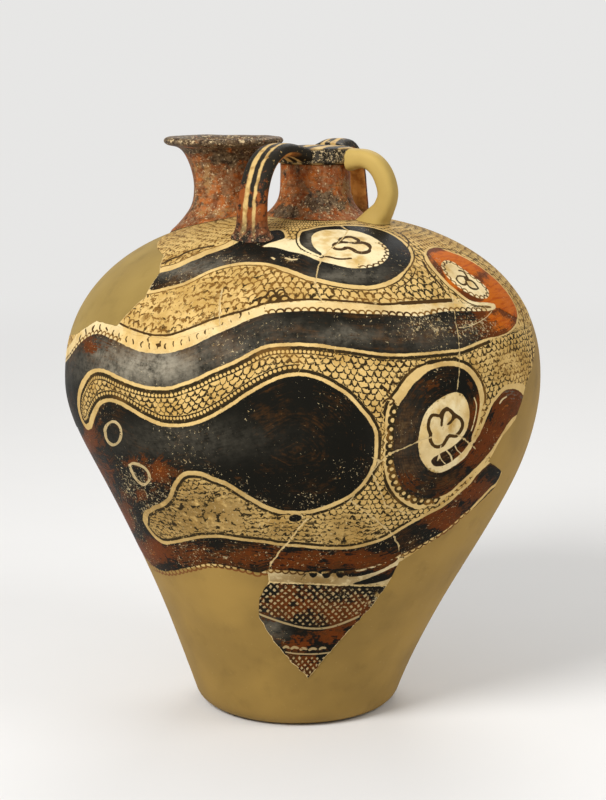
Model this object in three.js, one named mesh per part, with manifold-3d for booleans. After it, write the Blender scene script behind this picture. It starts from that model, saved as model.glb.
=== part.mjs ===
// A mended stirrup jar with three handles, in millimetres, +Z up.
// The origin is on the floor under the belly's axis, and +X points from the spout to the plain handle.
import * as THREE from 'three';
import { mergeVertices } from 'three/addons/utils/BufferGeometryUtils.js';
import Module from 'manifold-3d';

const wasm = await Module();
wasm.setup();

// Body: a flat foot, a rising wall, a round belly and a full shoulder
const FOOT_RADIUS = 63;
const FOOT_ROUND = 15.2;
const FOOT_LEAN = 19.3; // degrees that the wall leans out above the foot
const FOOT_SWEEP = 116; // how far up the wall keeps that lean
const BELLY_SWEEP = 54; // how far below the belly the wall is upright
const BELLY_RADIUS = 175.7;
const BELLY_HEIGHT = 248;
const CROWN_HEIGHT = 368.6;
const SHOULDER_FULLNESS = 2.3; // 2 is an ellipse, more is squarer
const WALL = 8;
const FLOOR = 11;

// The pot slumped a little sideways before it was fired
const SLUMP = 4.3;
const SLUMP_HEIGHT = 170;
const SLUMP_AZIMUTH = 26;

// Spout: an open tube with a trumpet rim, on the shoulder
const SPOUT_OFFSET = 65.7;
const SPOUT_WAIST = 22.3; // outer radius at the narrowest
const SPOUT_WAIST_RISE = 17; // above the crown
const SPOUT_RIM = 44.5;
const SPOUT_FOOT = 36;
const SPOUT_WALL = 6.5;
const SPOUT_RISE = 54.4; // of the rim above the crown
const SPOUT_ROOT = 20; // how far the foot's cone is carried under the crown, before it is trimmed
const SPOUT_FLARE = 7; // of the trumpet under the lip
const LIP = 5.6;
const LIP_ROUND = 3;

// False neck: a hollow stem closed by a disc that carries the handles
const FALSE_NECK_OFFSET = 10;
const FALSE_NECK_RADIUS = 25.5;
const FALSE_NECK_FOOT = 39;
const FALSE_NECK_FLARE = 28; // height of the foot's flare
const FALSE_NECK_BORE = 16;
const FALSE_NECK_ROOT = 12; // how far its foot is carried under the crown, before it is trimmed
const DISC_RADIUS = 28.5;
const DISC_THICK = 11.5;
const DISC_DOME = 1.2;
const DISC_ROUND = 2.5;
const DISC_RISE = 48.4; // of the disc's top above the crown

// Two strap handles
const STRAP_WIDTH = 22;
const STRAP_THICK = 9.5;
const STRAP_REACH = 85.6; // from the false neck's axis to the foot
const STRAP_AZIMUTH = 95.4;
const STRAP_RISE = 4.6; // of the strap's top line over the disc's top
const STRAP_SPREAD = 1.25; // how much wider the foot is
const STRAP_ROOT = 34; // how far its end is carried under the crown, before it is trimmed
// Its middle line, as shares of the reach and of the fall from its top to its root
const STRAP_LINE = [
  [0.48, 0.006], [0.68, 0.018], [0.85, 0.122], [0.95, 0.304], [0.99, 0.523], [1, 0.781], [1, 1]];

// The plain handle, modelled by the mender
const PLAIN_WIDTH = 16;
const PLAIN_THICK = 13.5;
const PLAIN_REACH = 57.5; // outermost point of its middle line
const PLAIN_DROP = 1.7; // of its top under the disc's top
const PLAIN_ROOT = 18;
const PLAIN_LINE = [[0.7, -0.009], [0.9, 0.121], [1, 0.38], [0.95, 0.587], [0.817, 0.741], [0.765, 1]];

// Clearances and steps
const MEND_GAP = 0.3; // between two mended edges
const SEAT_GAP = 0.3; // between a luted piece and what it sits on
const HANDLE_LAP = 6; // how far a handle is carried in under the disc's edge, before it is trimmed
const CROWN_CLEAR = 0.7; // from the crown's own hole to the false neck's bore
const EDGE_STEP = 32; // longest straight run along a mended edge
const CUT_DEPTH = 24; // how far a cutter reaches past the wall, each way
const BODY_SIDES = 40;
const NECK_SIDES = 26;
const WALL_RINGS = 7;
const DOME_RINGS = 10;
const INNER_WALL_RINGS = 5;
const INNER_DOME_RINGS = 6;

const rad = THREE.MathUtils.degToRad;

// The crown's own hole stays inside the false neck's bore
const crownTip = Math.max(FALSE_NECK_BORE - FALSE_NECK_OFFSET - CROWN_CLEAR, CROWN_CLEAR);

// Outer profile of the body as [radius, height], from the foot's edge to the crown
function bodyProfile(wallRings, domeRings) {
  const points = [];
  const lean = rad(FOOT_LEAN);
  for (let i = 0; i <= 4; i++) {
    const a = -Math.PI / 2 + (Math.PI / 2 - lean) * (i / 4);
    points.push(new THREE.Vector2(FOOT_RADIUS + FOOT_ROUND * Math.cos(a), FOOT_ROUND * (1 + Math.sin(a))));
  }
  const start = points[4];
  const leanPoint = new THREE.Vector2(Math.sin(lean), Math.cos(lean)).multiplyScalar(FOOT_SWEEP).add(start);
  const belly = new THREE.Vector2(BELLY_RADIUS, BELLY_HEIGHT);
  const underBelly = new THREE.Vector2(BELLY_RADIUS, BELLY_HEIGHT - BELLY_SWEEP);
  const wall = new THREE.CubicBezierCurve(start, leanPoint, underBelly, belly);
  points.push(...wall.getPoints(wallRings).slice(1));
  const rise = CROWN_HEIGHT - BELLY_HEIGHT;
  const power = 2 / SHOULDER_FULLNESS;
  const last = Math.acos((crownTip / BELLY_RADIUS) ** (1 / power));
  for (let i = 1; i <= domeRings; i++) {
    const a = last * (i / domeRings);
    points.push(new THREE.Vector2(
      BELLY_RADIUS * Math.cos(a) ** power,
      BELLY_HEIGHT + rise * Math.sin(a) ** power));
  }
  return points;
}

// Moves each point of a profile along its own normal: outward for a positive distance
function offsetProfile(points, distance) {
  return points.map((p, i) => {
    const before = points[Math.max(i - 1, 0)];
    const after = points[Math.min(i + 1, points.length - 1)];
    const run = after.clone().sub(before).normalize();
    return new THREE.Vector2(p.x + run.y * distance, p.y - run.x * distance);
  });
}

// Sideways slump of the soft pot at a height
function slump(z) {
  if (z < SLUMP_HEIGHT) {
    return -SLUMP * Math.cos(Math.PI * Math.max(z, 0) / SLUMP_HEIGHT);
  }
  const left = Math.min((z - SLUMP_HEIGHT) / (BELLY_HEIGHT - SLUMP_HEIGHT), 1);
  return SLUMP * (1 + Math.cos(Math.PI * left)) / 2;
}

function slumped(geometry) {
  const place = geometry.getAttribute('position');
  for (let i = 0; i < place.count; i++) {
    const shift = slump(place.getZ(i));
    place.setX(i, place.getX(i) + shift * Math.cos(rad(SLUMP_AZIMUTH)));
    place.setY(i, place.getY(i) + shift * Math.sin(rad(SLUMP_AZIMUTH)));
  }
  return geometry;
}

// Bare closed triangles: welded, without flat ones, facing outward
function closed(geometry) {
  geometry.deleteAttribute('normal');
  geometry.deleteAttribute('uv');
  const welded = mergeVertices(geometry, 1e-4);
  const place = welded.getAttribute('position');
  const corners = welded.getIndex().array;
  const kept = [];
  let volume = 0;
  const [a, b, c] = [new THREE.Vector3(), new THREE.Vector3(), new THREE.Vector3()];
  for (let i = 0; i < corners.length; i += 3) {
    const [p, q, r] = [corners[i], corners[i + 1], corners[i + 2]];
    if (p !== q && q !== r && r !== p) {
      kept.push(p, q, r);
      a.fromBufferAttribute(place, p);
      b.fromBufferAttribute(place, q);
      c.fromBufferAttribute(place, r);
      volume += a.dot(b.cross(c));
    }
  }
  if (volume < 0) {
    kept.reverse();
  }
  welded.setIndex(kept);
  return welded;
}

function solidOf(geometry) {
  const whole = closed(geometry);
  return new wasm.Manifold(new wasm.Mesh({
    numProp: 3,
    vertProperties: new Float32Array(whole.getAttribute('position').array),
    triVerts: new Uint32Array(whole.getIndex().array),
  }));
}

function geometryOf(solid) {
  const mesh = solid.getMesh();
  const geometry = new THREE.BufferGeometry();
  geometry.setAttribute('position', new THREE.BufferAttribute(new Float32Array(mesh.vertProperties), 3));
  geometry.setIndex(new THREE.BufferAttribute(new Uint32Array(mesh.triVerts), 1));
  geometry.computeVertexNormals();
  return geometry;
}

// Turns a profile about an upright axis at x
function revolve(points, sides, x = 0) {
  const geometry = new THREE.LatheGeometry(points, sides);
  geometry.rotateX(Math.PI / 2);
  geometry.translate(x, 0, 0);
  return geometry;
}

function cylinder(radius, low, high, x) {
  return solidOf(revolve([
    new THREE.Vector2(0, low),
    new THREE.Vector2(radius, low),
    new THREE.Vector2(radius, high),
    new THREE.Vector2(0, high),
  ], NECK_SIDES, x));
}

// The whole wall of the pot, before it broke, with the two holes under the necks
const outer = bodyProfile(WALL_RINGS, DOME_RINGS);
const inner = offsetProfile(bodyProfile(INNER_WALL_RINGS, INNER_DOME_RINGS), -WALL)
  .filter((p) => p.y > FLOOR)
  .reverse();
const innerFoot = new THREE.Vector2(inner[inner.length - 1].x, FLOOR);
const shell = [
  new THREE.Vector2(0, 0),
  ...outer,
  ...inner,
  innerFoot,
  new THREE.Vector2(0, FLOOR),
];
const spoutBore = SPOUT_WAIST - SPOUT_WALL;
const body = solidOf(slumped(revolve(shell, BODY_SIDES)))
  .subtract(cylinder(FALSE_NECK_BORE, BELLY_HEIGHT, CROWN_HEIGHT + WALL, FALSE_NECK_OFFSET))
  .subtract(cylinder(spoutBore, BELLY_HEIGHT, CROWN_HEIGHT + WALL, -SPOUT_OFFSET));

// The pot's outside grown by the seat gap, to trim what is luted onto it
const envelope = solidOf(slumped(revolve([
  new THREE.Vector2(0, -SEAT_GAP),
  ...offsetProfile(outer, SEAT_GAP),
  new THREE.Vector2(0, CROWN_HEIGHT + SEAT_GAP),
], BODY_SIDES)));

// A point of the wall: azimuth in degrees, percent of the way up the profile, distance out of the wall
const track = bodyProfile(60, 120);
const lengths = track.map((p, i) => (i ? p.distanceTo(track[i - 1]) : 0));
const runs = track.map((p, i) => (
  track[Math.min(i + 1, track.length - 1)].clone().sub(track[Math.max(i - 1, 0)]).normalize()));
const wallLength = lengths.reduce((sum, one) => sum + one, 0);

function wallAt(up) {
  let left = (up / 100) * wallLength;
  let i = 1;
  while (i < track.length - 1 && left > lengths[i]) {
    left -= lengths[i];
    i += 1;
  }
  const share = Math.min(left / lengths[i], 1);
  return {
    place: track[i - 1].clone().lerp(track[i], share),
    run: runs[i - 1].clone().lerp(runs[i], share).normalize(),
  };
}

function wallPoint(azimuth, up, out) {
  const { place, run } = wallAt(up);
  const r = place.x + run.y * out;
  const shift = slump(place.y);
  return new THREE.Vector3(
    r * Math.cos(rad(azimuth)) + shift * Math.cos(rad(SLUMP_AZIMUTH)),
    r * Math.sin(rad(azimuth)) + shift * Math.sin(rad(SLUMP_AZIMUTH)),
    place.y - run.x * out);
}

// Splits a mended edge, given as [azimuth, percent up], into short runs
function edge(...corners) {
  const points = [];
  for (let i = 0; i + 1 < corners.length; i++) {
    const [a, b] = [corners[i], corners[i + 1]];
    const run = wallPoint(...a, 0).distanceTo(wallPoint(...b, 0));
    const steps = Math.max(1, Math.ceil(run / EDGE_STEP));
    for (let k = 0; k < steps; k++) {
      const t = k / steps;
      points.push([a[0] + (b[0] - a[0]) * t, a[1] + (b[1] - a[1]) * t]);
    }
  }
  points.push(corners[corners.length - 1]);
  return points;
}

const reversed = (points) => [...points].reverse();
const onceRound = (points) => points.map(([azimuth, up]) => [azimuth + ROUND, up]);

// Joins edges end to end into one closed outline
function outline(...edges) {
  return edges.flatMap((points) => points.slice(0, -1));
}

// Moves an outline out over the wall by a distance, or in for a negative one
function grown(points, distance) {
  const count = points.length;
  return points.map(([azimuth, up], i) => {
    const r = Math.max(wallAt(up).place.x, 1);
    const flat = ([az, u]) => new THREE.Vector2(rad(az - azimuth) * r, (u - up) / 100 * wallLength);
    const into = flat(points[(i + count - 1) % count]).negate().normalize();
    const outOf = flat(points[(i + 1) % count]).normalize();
    const bisector = new THREE.Vector2(into.y + outOf.y, -into.x - outOf.x).normalize();
    const reach = distance / Math.max(bisector.dot(new THREE.Vector2(into.y, -into.x)), 0.4);
    const step = bisector.multiplyScalar(reach);
    return [azimuth + step.x / r * 180 / Math.PI, up + step.y / wallLength * 100];
  });
}

// Cuts every triangle into four, sharing the new points along common sides
function halved(points, triangles) {
  const middles = new Map();
  const middle = (a, b) => {
    const key = a < b ? `${a} ${b}` : `${b} ${a}`;
    if (!middles.has(key)) {
      middles.set(key, points.length);
      points.push([(points[a][0] + points[b][0]) / 2, (points[a][1] + points[b][1]) / 2]);
    }
    return middles.get(key);
  };
  return triangles.flatMap(([a, b, c]) => {
    const [ab, bc, ca] = [middle(a, b), middle(b, c), middle(c, a)];
    return [[a, ab, ca], [ab, b, bc], [ca, bc, c], [ab, bc, ca]];
  });
}

// A cutter that goes right through the wall inside an outline
function cutter(points) {
  const flat = points.map(([az, up]) => new THREE.Vector2(rad(az) * BELLY_RADIUS, up / 100 * wallLength));
  const all = points.map((p) => [...p]);
  let triangles = THREE.ShapeUtils.triangulateShape(flat, []);
  triangles = halved(all, triangles);
  const corners = [];
  const count = all.length;
  const sides = new Set(triangles.flatMap(([a, b, c]) => [`${a} ${b}`, `${b} ${c}`, `${c} ${a}`]));
  for (const [a, b, c] of triangles) {
    corners.push(a, b, c, count + a, count + c, count + b);
    for (const [p, q] of [[a, b], [b, c], [c, a]]) {
      if (!sides.has(`${q} ${p}`)) {
        // Both pieces along an edge split its faces the same way
        const split = all[p][0] < all[q][0];
        corners.push(...(split ? [q, p, count + p, q, count + p, count + q]
          : [q, p, count + q, p, count + p, count + q]));
      }
    }
  }
  const places = [CUT_DEPTH, -WALL - CUT_DEPTH].flatMap((out) => (
    all.flatMap(([azimuth, up]) => wallPoint(azimuth, up, out).toArray())));
  const geometry = new THREE.BufferGeometry();
  geometry.setAttribute('position', new THREE.Float32BufferAttribute(places, 3));
  geometry.setIndex(corners);
  return solidOf(geometry);
}

// Mended edges, each used by the two pieces that meet there
const TOP = 100;
const ROUND = 360;
// Where the shoulder's edges meet the crown, as azimuths
const LEFT_CROWN = -157;
const FRONT_CROWN = -95;
const RIGHT_CROWN = -38;
const RED_CROWN = 1;
const BACK_RIGHT_CROWN = 35;
const BACK_CROWN = 92;
const FILL_CROWN = 150;
const crownEdge = (from, to) => edge([from, TOP], [to, TOP]);
const fillToLeftShoulder = edge([LEFT_CROWN, TOP], [LEFT_CROWN, 81], [-141, 79.5], [-120, 77.3], [-112, 73.7],
  [-110, 69.3], [-115, 64.5]);
const leftToFrontShoulder = edge([FRONT_CROWN, TOP], [FRONT_CROWN, 82.8], [-87, 75.8], [-86, 69.9],
  [-84, 66]);
const frontToRightShoulder = edge([RIGHT_CROWN, TOP], [RIGHT_CROWN, 87], [-54, 80.5], [-59, 76.8],
  [-60.5, 73.2], [-59, 69.8]);
const rightToRedShoulder = edge([RED_CROWN, TOP], [RED_CROWN, 85.1], [-14, 78.2], [-20, 70.7], [-22, 68.6]);
const redToBackShoulder = edge([BACK_RIGHT_CROWN, TOP], [36, 81], [30, 71.5], [24, 64.6]);
const backRightToBackShoulder = edge([BACK_CROWN, TOP], [BACK_CROWN, 83], [86, 75.3], [90, 68.5], [85, 63.7]);
const backShoulderToFill = edge([FILL_CROWN, TOP], [152, 77.2], [160, 70.5], [168, 63.7]);

const underFill = edge([-150, 60.2], [-135, 61.8], [-125, 64.5], [-115, 64.5]);
const underLeftShoulder = edge([-115, 64.5], [-107, 63.7], [-95, 63.7], [-84, 66]);
const underFrontShoulder = edge([-84, 66], [-71, 69], [-59, 69.8]);
const underRightShoulder = edge([-59, 69.8], [-42, 69.1], [-22, 68.6]);
const underRedShoulder = edge([-22, 68.6], [-4.5, 66.6], [12, 62.2]);
const redToLowerFill = edge([12, 62.2], [24, 64.6]);
const backRightToLowerFill = edge([24, 64.6], [40, 63]);
const underBackRight = edge([40, 63], [62, 65.3], [85, 63.7]);
const underBackMiddle = edge([85, 63.7], [105, 64.7]);
const underBackLeft = edge([105, 64.7], [135, 66.5], [168, 63.7]);
const fillToBackBelly = edge([168, 63.7], [176, 63]);
const fillToBackLeft = edge([176, 63], [190, 61.4], [210, 60.2]);

const leftToFrontBelly = edge([-84, 66], [-81, 62.1], [-76, 56.8]);
const frontToRightBelly = edge([-22, 68.6], [-24, 66.2], [-26, 61], [-28, 56.4], [-28, 50.8]);
const frontBellyToBulb = edge([-76, 56.8], [-63, 53.5], [-47, 48]);
const frontBellyToSpiral = edge([-47, 48], [-45, 49], [-36, 50.8], [-28, 50.8]);
const spiralToRightBelly = edge([-28, 50.8], [-25, 49.8], [-15, 45.7]);
const leftBellyToEyes = edge([-76, 56.8], [-87, 52.9], [-97, 50.8], [-114, 50], [-127, 48.6], [-150, 47.3]);
const eyesToBulb = edge([-76, 56.8], [-75, 52.1], [-72, 45], [-65, 39]);
const bulbToLowerFront = edge([-65, 39], [-54, 42.1]);
const bulbToLowerRight = edge([-54, 42.1], [-49, 46.5]);
const bulbToSpiral = edge([-49, 46.5], [-47, 48]);
const spiralToLowerRight = edge([-49, 46.5], [-47, 43.8], [-45, 41], [-38, 39], [-29, 40.5], [-20, 43.1],
  [-15, 45.7]);
const lowerFrontToRight = edge([-54, 42.1], [-41, 35.8], [-38, 33.6], [-36, 30.7]);
const eyesToLowerFront = edge([-65, 39], [-69, 35.8], [-75, 31.3], [-76, 29.4]);
const overTriangle = edge([-76, 28], [-61, 27.8], [-37, 26.6]);
const backLeftToLeftBelly = edge([-150, 60.2], [-146, 55], [-150, 47.3]);
const backLeftToEyes = edge([-150, 47.3], [-156, 41.5], [-150, 29]);
const backRightToBackBelly = edge([105, 64.7], [100, 58], [108, 50.6], [102, 39.6]);
const backBellyToBackLeft = edge([176, 63], [172, 56], [180, 49.2], [174, 40.5]);

// Edges against the plaster that makes up the lower body
const lowerEyes = edge([-76, 29.4], [-87, 29.9], [-96, 29.7], [-108, 28], [-121, 26.1], [-133, 26.4],
  [-150, 29]);
const lowerFrontLeft = edge([-76, 28], [-76, 29.4]);
const lowerFrontRight = edge([-37, 26.6], [-36, 30.7]);
const aroundTriangle = edge([-76, 28], [-79.5, 25], [-80.5, 21.2], [-75.5, 17], [-68, 13.3], [-60, 10.4],
  [-57.5, 11.6], [-49, 17], [-40, 23], [-37, 26.6]);
const lowerRight = edge([-36, 30.7], [-31, 32.2], [-24, 34.4], [-17, 37], [-7, 40.5], [-6, 42.9],
  [-15, 45.7]);
const rightSide = edge([-15, 45.7], [-11, 49.2], [-6, 50.9], [-1, 55.4], [11, 60], [12, 62.2]);
const lowerBackRight = edge([40, 63], [46, 56], [40, 49.2], [48, 41.5], [70, 37.8], [102, 39.6]);
const lowerBack = edge([102, 39.6], [125, 35.9], [150, 38.6], [174, 40.5]);
const lowerBackLeft = edge([174, 40.5], [186, 33.2], [210, 29]);

const SHERDS = {
  left_shoulder_fill: outline(crownEdge(LEFT_CROWN + ROUND, FILL_CROWN), backShoulderToFill, fillToBackBelly,
    fillToBackLeft, onceRound(underFill), reversed(onceRound(fillToLeftShoulder))),
  left_shoulder_sherd: outline(crownEdge(FRONT_CROWN, LEFT_CROWN), fillToLeftShoulder, underLeftShoulder,
    reversed(leftToFrontShoulder)),
  front_shoulder_sherd: outline(crownEdge(RIGHT_CROWN, FRONT_CROWN), leftToFrontShoulder, underFrontShoulder,
    reversed(frontToRightShoulder)),
  right_shoulder_sherd: outline(crownEdge(RED_CROWN, RIGHT_CROWN), frontToRightShoulder, underRightShoulder,
    reversed(rightToRedShoulder)),
  red_shoulder_sherd: outline(crownEdge(BACK_RIGHT_CROWN, RED_CROWN), rightToRedShoulder, underRedShoulder,
    redToLowerFill, reversed(redToBackShoulder)),
  back_right_shoulder_sherd: outline(crownEdge(BACK_CROWN, BACK_RIGHT_CROWN), redToBackShoulder,
    backRightToLowerFill, underBackRight, reversed(backRightToBackShoulder)),
  back_shoulder_sherd: outline(crownEdge(FILL_CROWN, BACK_CROWN), backRightToBackShoulder, underBackMiddle,
    underBackLeft, reversed(backShoulderToFill)),
  left_belly_sherd: outline(reversed(underLeftShoulder), reversed(underFill), backLeftToLeftBelly,
    reversed(leftBellyToEyes), reversed(leftToFrontBelly)),
  eye_sherd: outline(leftBellyToEyes, backLeftToEyes, reversed(lowerEyes), reversed(eyesToLowerFront),
    reversed(eyesToBulb)),
  front_belly_sherd: outline(reversed(underRightShoulder), reversed(underFrontShoulder), leftToFrontBelly,
    frontBellyToBulb, frontBellyToSpiral, reversed(frontToRightBelly)),
  bulb_sherd: outline(reversed(frontBellyToBulb), eyesToBulb, bulbToLowerFront, bulbToLowerRight,
    bulbToSpiral),
  right_belly_sherd: outline(reversed(underRedShoulder), frontToRightBelly, spiralToRightBelly, rightSide),
  spiral_sherd: outline(reversed(frontBellyToSpiral), reversed(bulbToSpiral), spiralToLowerRight,
    reversed(spiralToRightBelly)),
  lower_right_sherd: outline(reversed(spiralToLowerRight), reversed(bulbToLowerRight), lowerFrontToRight,
    lowerRight),
  lower_front_sherd: outline(reversed(bulbToLowerFront), eyesToLowerFront, reversed(lowerFrontLeft),
    overTriangle, lowerFrontRight, reversed(lowerFrontToRight)),
  triangular_sherd: outline(reversed(overTriangle), aroundTriangle),
  back_right_belly_sherd: outline(reversed(underBackMiddle), reversed(underBackRight), lowerBackRight,
    reversed(backRightToBackBelly)),
  back_belly_sherd: outline(reversed(fillToBackBelly), reversed(underBackLeft), backRightToBackBelly,
    lowerBack, reversed(backBellyToBackLeft)),
  back_left_belly_sherd: outline(reversed(fillToBackLeft), backBellyToBackLeft, lowerBackLeft,
    reversed(onceRound(backLeftToEyes)), reversed(onceRound(backLeftToLeftBelly))),
};

// A tube about an upright axis: outer profile from the foot up, then back down the bore
function tube(outside, bore, sides, x) {
  return revolve([...outside, ...bore, outside[0]], sides, x);
}

// Spout: from a foot below the shoulder's skin to the waist, then the trumpet and the lip
const waistHeight = CROWN_HEIGHT + SPOUT_WAIST_RISE;
const spoutHeight = CROWN_HEIGHT + SPOUT_RISE;
const lipFoot = spoutHeight - LIP;
const { lerp } = THREE.MathUtils;
// Shares of the way down from the waist to the root, and of the way out from the waist to the foot
const spoutFoot = (down, out) => new THREE.Vector2(
  lerp(SPOUT_WAIST, SPOUT_FOOT, out), lerp(waistHeight, CROWN_HEIGHT - SPOUT_ROOT, down));
const trumpet = (up, out) => new THREE.Vector2(SPOUT_WAIST + out, lerp(waistHeight, lipFoot, up));
const spoutSide = new THREE.SplineCurve([
  spoutFoot(1, 1.36),
  spoutFoot(0.7, 0.78),
  spoutFoot(0.36, 0.16),
  spoutFoot(0, 0),
  trumpet(0.42, SPOUT_FLARE * 0.28),
  trumpet(0.78, SPOUT_FLARE),
  trumpet(0.94, (SPOUT_RIM - SPOUT_WAIST) * 0.55),
]).getPoints(12);
const lipSide = [[1, 0], [0.2, 0.29], [0, 0.5], [0.27, 0.84], [1, 1]].map(
  ([back, up]) => new THREE.Vector2(SPOUT_RIM - LIP_ROUND * back, lipFoot + LIP * up));
const spoutInside = new THREE.SplineCurve([
  new THREE.Vector2(lerp(SPOUT_RIM, SPOUT_WAIST, 0.54), spoutHeight - LIP * 0.36),
  trumpet(0.8, SPOUT_FLARE * 0.28),
  new THREE.Vector2(spoutBore, waistHeight),
  new THREE.Vector2(spoutBore, CROWN_HEIGHT - SPOUT_ROOT),
]).getPoints(6);
const spoutTube = tube([...spoutSide, ...lipSide], spoutInside, NECK_SIDES, -SPOUT_OFFSET);
const spout = solidOf(spoutTube).subtract(envelope);

// False neck and its disc
const discTop = CROWN_HEIGHT + DISC_RISE;
const discFoot = discTop - DISC_THICK;
const falseNeckRoot = CROWN_HEIGHT - FALSE_NECK_ROOT;
function falseNeckSide(grow) {
  const side = (out, height) => new THREE.Vector2(
    lerp(FALSE_NECK_RADIUS, FALSE_NECK_FOOT, out) + grow, height);
  const flareTop = Math.min(CROWN_HEIGHT + FALSE_NECK_FLARE, discFoot - DISC_ROUND);
  const flare = (up) => lerp(CROWN_HEIGHT, flareTop, up);
  return new THREE.SplineCurve([
    side(1.3, falseNeckRoot),
    side(0.85, lerp(CROWN_HEIGHT, falseNeckRoot, 1 / 3)),
    side(0.4, flare(1 / 7)),
    side(0.07, flare(1 / 2)),
    side(0, flareTop),
    side(0, discFoot - SEAT_GAP),
  ]).getPoints(9);
}
const falseNeckBore = [
  new THREE.Vector2(FALSE_NECK_BORE, discFoot - SEAT_GAP),
  new THREE.Vector2(FALSE_NECK_BORE, falseNeckRoot),
];
const falseNeckTube = tube(falseNeckSide(0), falseNeckBore, NECK_SIDES, FALSE_NECK_OFFSET);
const falseNeck = solidOf(falseNeckTube).subtract(envelope);
const falseNeckRoom = solidOf(revolve([
  new THREE.Vector2(0, falseNeckRoot),
  ...falseNeckSide(SEAT_GAP),
  new THREE.Vector2(0, discFoot),
], NECK_SIDES, FALSE_NECK_OFFSET));
const disc = solidOf(revolve([
  new THREE.Vector2(0, discFoot),
  new THREE.Vector2(DISC_RADIUS - DISC_ROUND, discFoot),
  new THREE.Vector2(DISC_RADIUS, discFoot + DISC_ROUND),
  new THREE.Vector2(DISC_RADIUS, discTop - DISC_ROUND),
  new THREE.Vector2(DISC_RADIUS - DISC_ROUND, discTop),
  new THREE.Vector2(DISC_RADIUS / 2, discTop + DISC_DOME * 0.8),
  new THREE.Vector2(0, discTop + DISC_DOME),
], NECK_SIDES, FALSE_NECK_OFFSET));
const discRoom = cylinder(
  DISC_RADIUS + SEAT_GAP, discFoot - STRAP_THICK, discTop + STRAP_THICK, FALSE_NECK_OFFSET);

// A handle: a rounded section led along a path of [reach, height] in the upright plane at an azimuth
function handle(path, azimuth, width, thick, spread) {
  const curve = new THREE.SplineCurve(path.map(([reach, height]) => new THREE.Vector2(reach, height)));
  const steps = 20;
  const sides = 12;
  const along = new THREE.Vector3(Math.cos(rad(azimuth)), Math.sin(rad(azimuth)), 0);
  const across = new THREE.Vector3(-along.y, along.x, 0);
  const places = [];
  const corners = [];
  for (let i = 0; i <= steps; i++) {
    const t = i / steps;
    const point = curve.getPoint(t);
    const run = curve.getTangent(t);
    const swell = THREE.MathUtils.lerp(1, spread, Math.max(0, 2.5 * t - 1.5));
    const [wide, deep] = [width / 2 * swell, thick / 2 * swell];
    for (let k = 0; k < sides; k++) {
      const a = 2 * Math.PI * k / sides;
      const side = Math.sign(Math.cos(a)) * Math.abs(Math.cos(a)) ** 0.7 * wide;
      const lift = Math.sign(Math.sin(a)) * Math.abs(Math.sin(a)) ** 0.7 * deep;
      const reach = point.x - run.y * lift;
      places.push(
        FALSE_NECK_OFFSET + along.x * reach + across.x * side,
        along.y * reach + across.y * side,
        point.y + run.x * lift);
      const next = (k + 1) % sides;
      if (i < steps) {
        const [p, q] = [i * sides, (i + 1) * sides];
        corners.push(p + k, p + next, q + k, p + next, q + next, q + k);
      }
      if (i === 0 && k > 0 && k < sides - 1) {
        const end = steps * sides;
        corners.push(0, next, k, end, end + k, end + next);
      }
    }
  }
  const geometry = new THREE.BufferGeometry();
  geometry.setAttribute('position', new THREE.Float32BufferAttribute(places, 3));
  geometry.setIndex(corners);
  return solidOf(geometry).subtract(envelope).subtract(discRoom).subtract(falseNeckRoom);
}

// A handle's path: in under the disc's edge, then along its middle line
function handlePath(line, reach, top, root, start) {
  const fall = top - (CROWN_HEIGHT - root);
  return [[DISC_RADIUS - HANDLE_LAP, start], ...line.map(([out, down]) => [reach * out, top - fall * down])];
}

const strapTop = discTop + STRAP_RISE - STRAP_THICK / 2;
const strapStart = discTop - DISC_THICK / 2;
const strapPath = handlePath(STRAP_LINE, STRAP_REACH, strapTop, STRAP_ROOT, strapStart);
const plainTop = discTop - PLAIN_DROP - PLAIN_THICK / 2;
const plainPath = handlePath(PLAIN_LINE, PLAIN_REACH, plainTop, PLAIN_ROOT, plainTop - PLAIN_DROP / 2);

// Finishes: bare plaster, dark paint over buff clay, red paint, and the striped straps
const finish = (color, roughness) => new THREE.MeshStandardMaterial({ color, roughness, metalness: 0 });
const PLASTER = [0xa88a45, 0.62];
const DARK_PAINT = [0x3b3122, 0.42];
const RED_PAINT = [0x7a3216, 0.48];
const STRIPED = [0x4f3a26, 0.48];

const jar = new THREE.Group();
jar.name = 'stirrup_jar';

function place(name, solid, look) {
  const mesh = new THREE.Mesh(geometryOf(solid), finish(...look));
  mesh.name = name;
  jar.add(mesh);
}

let lowerBody = body;
for (const [name, points] of Object.entries(SHERDS)) {
  const look = name.includes('fill') ? PLASTER : name.includes('red') ? RED_PAINT : DARK_PAINT;
  place(name, body.intersect(cutter(grown(points, -MEND_GAP / 2))), look);
  lowerBody = lowerBody.subtract(cutter(grown(points, MEND_GAP / 2)));
}
place('lower_body_fill', lowerBody, PLASTER);
place('spout', spout, RED_PAINT);
place('false_neck', falseNeck, RED_PAINT);
place('disc', disc, STRIPED);
const strap = (azimuth) => handle(strapPath, azimuth, STRAP_WIDTH, STRAP_THICK, STRAP_SPREAD);
place('front_strap_handle', strap(-STRAP_AZIMUTH), STRIPED);
place('rear_strap_handle', strap(STRAP_AZIMUTH), STRIPED);
place('plain_handle', handle(plainPath, 0, PLAIN_WIDTH, PLAIN_THICK, STRAP_SPREAD), PLASTER);

export default jar;
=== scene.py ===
"""Dresses the mended stirrup jar: painted sherds, mender's plaster, luted necks and handles, and the studio."""

from __future__ import annotations

import logging
import math
from dataclasses import dataclass, field
from enum import Enum

import bpy
import numpy as np
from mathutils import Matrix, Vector, noise
from mathutils.geometry import delaunay_2d_cdt
from mathutils.kdtree import KDTree

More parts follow.
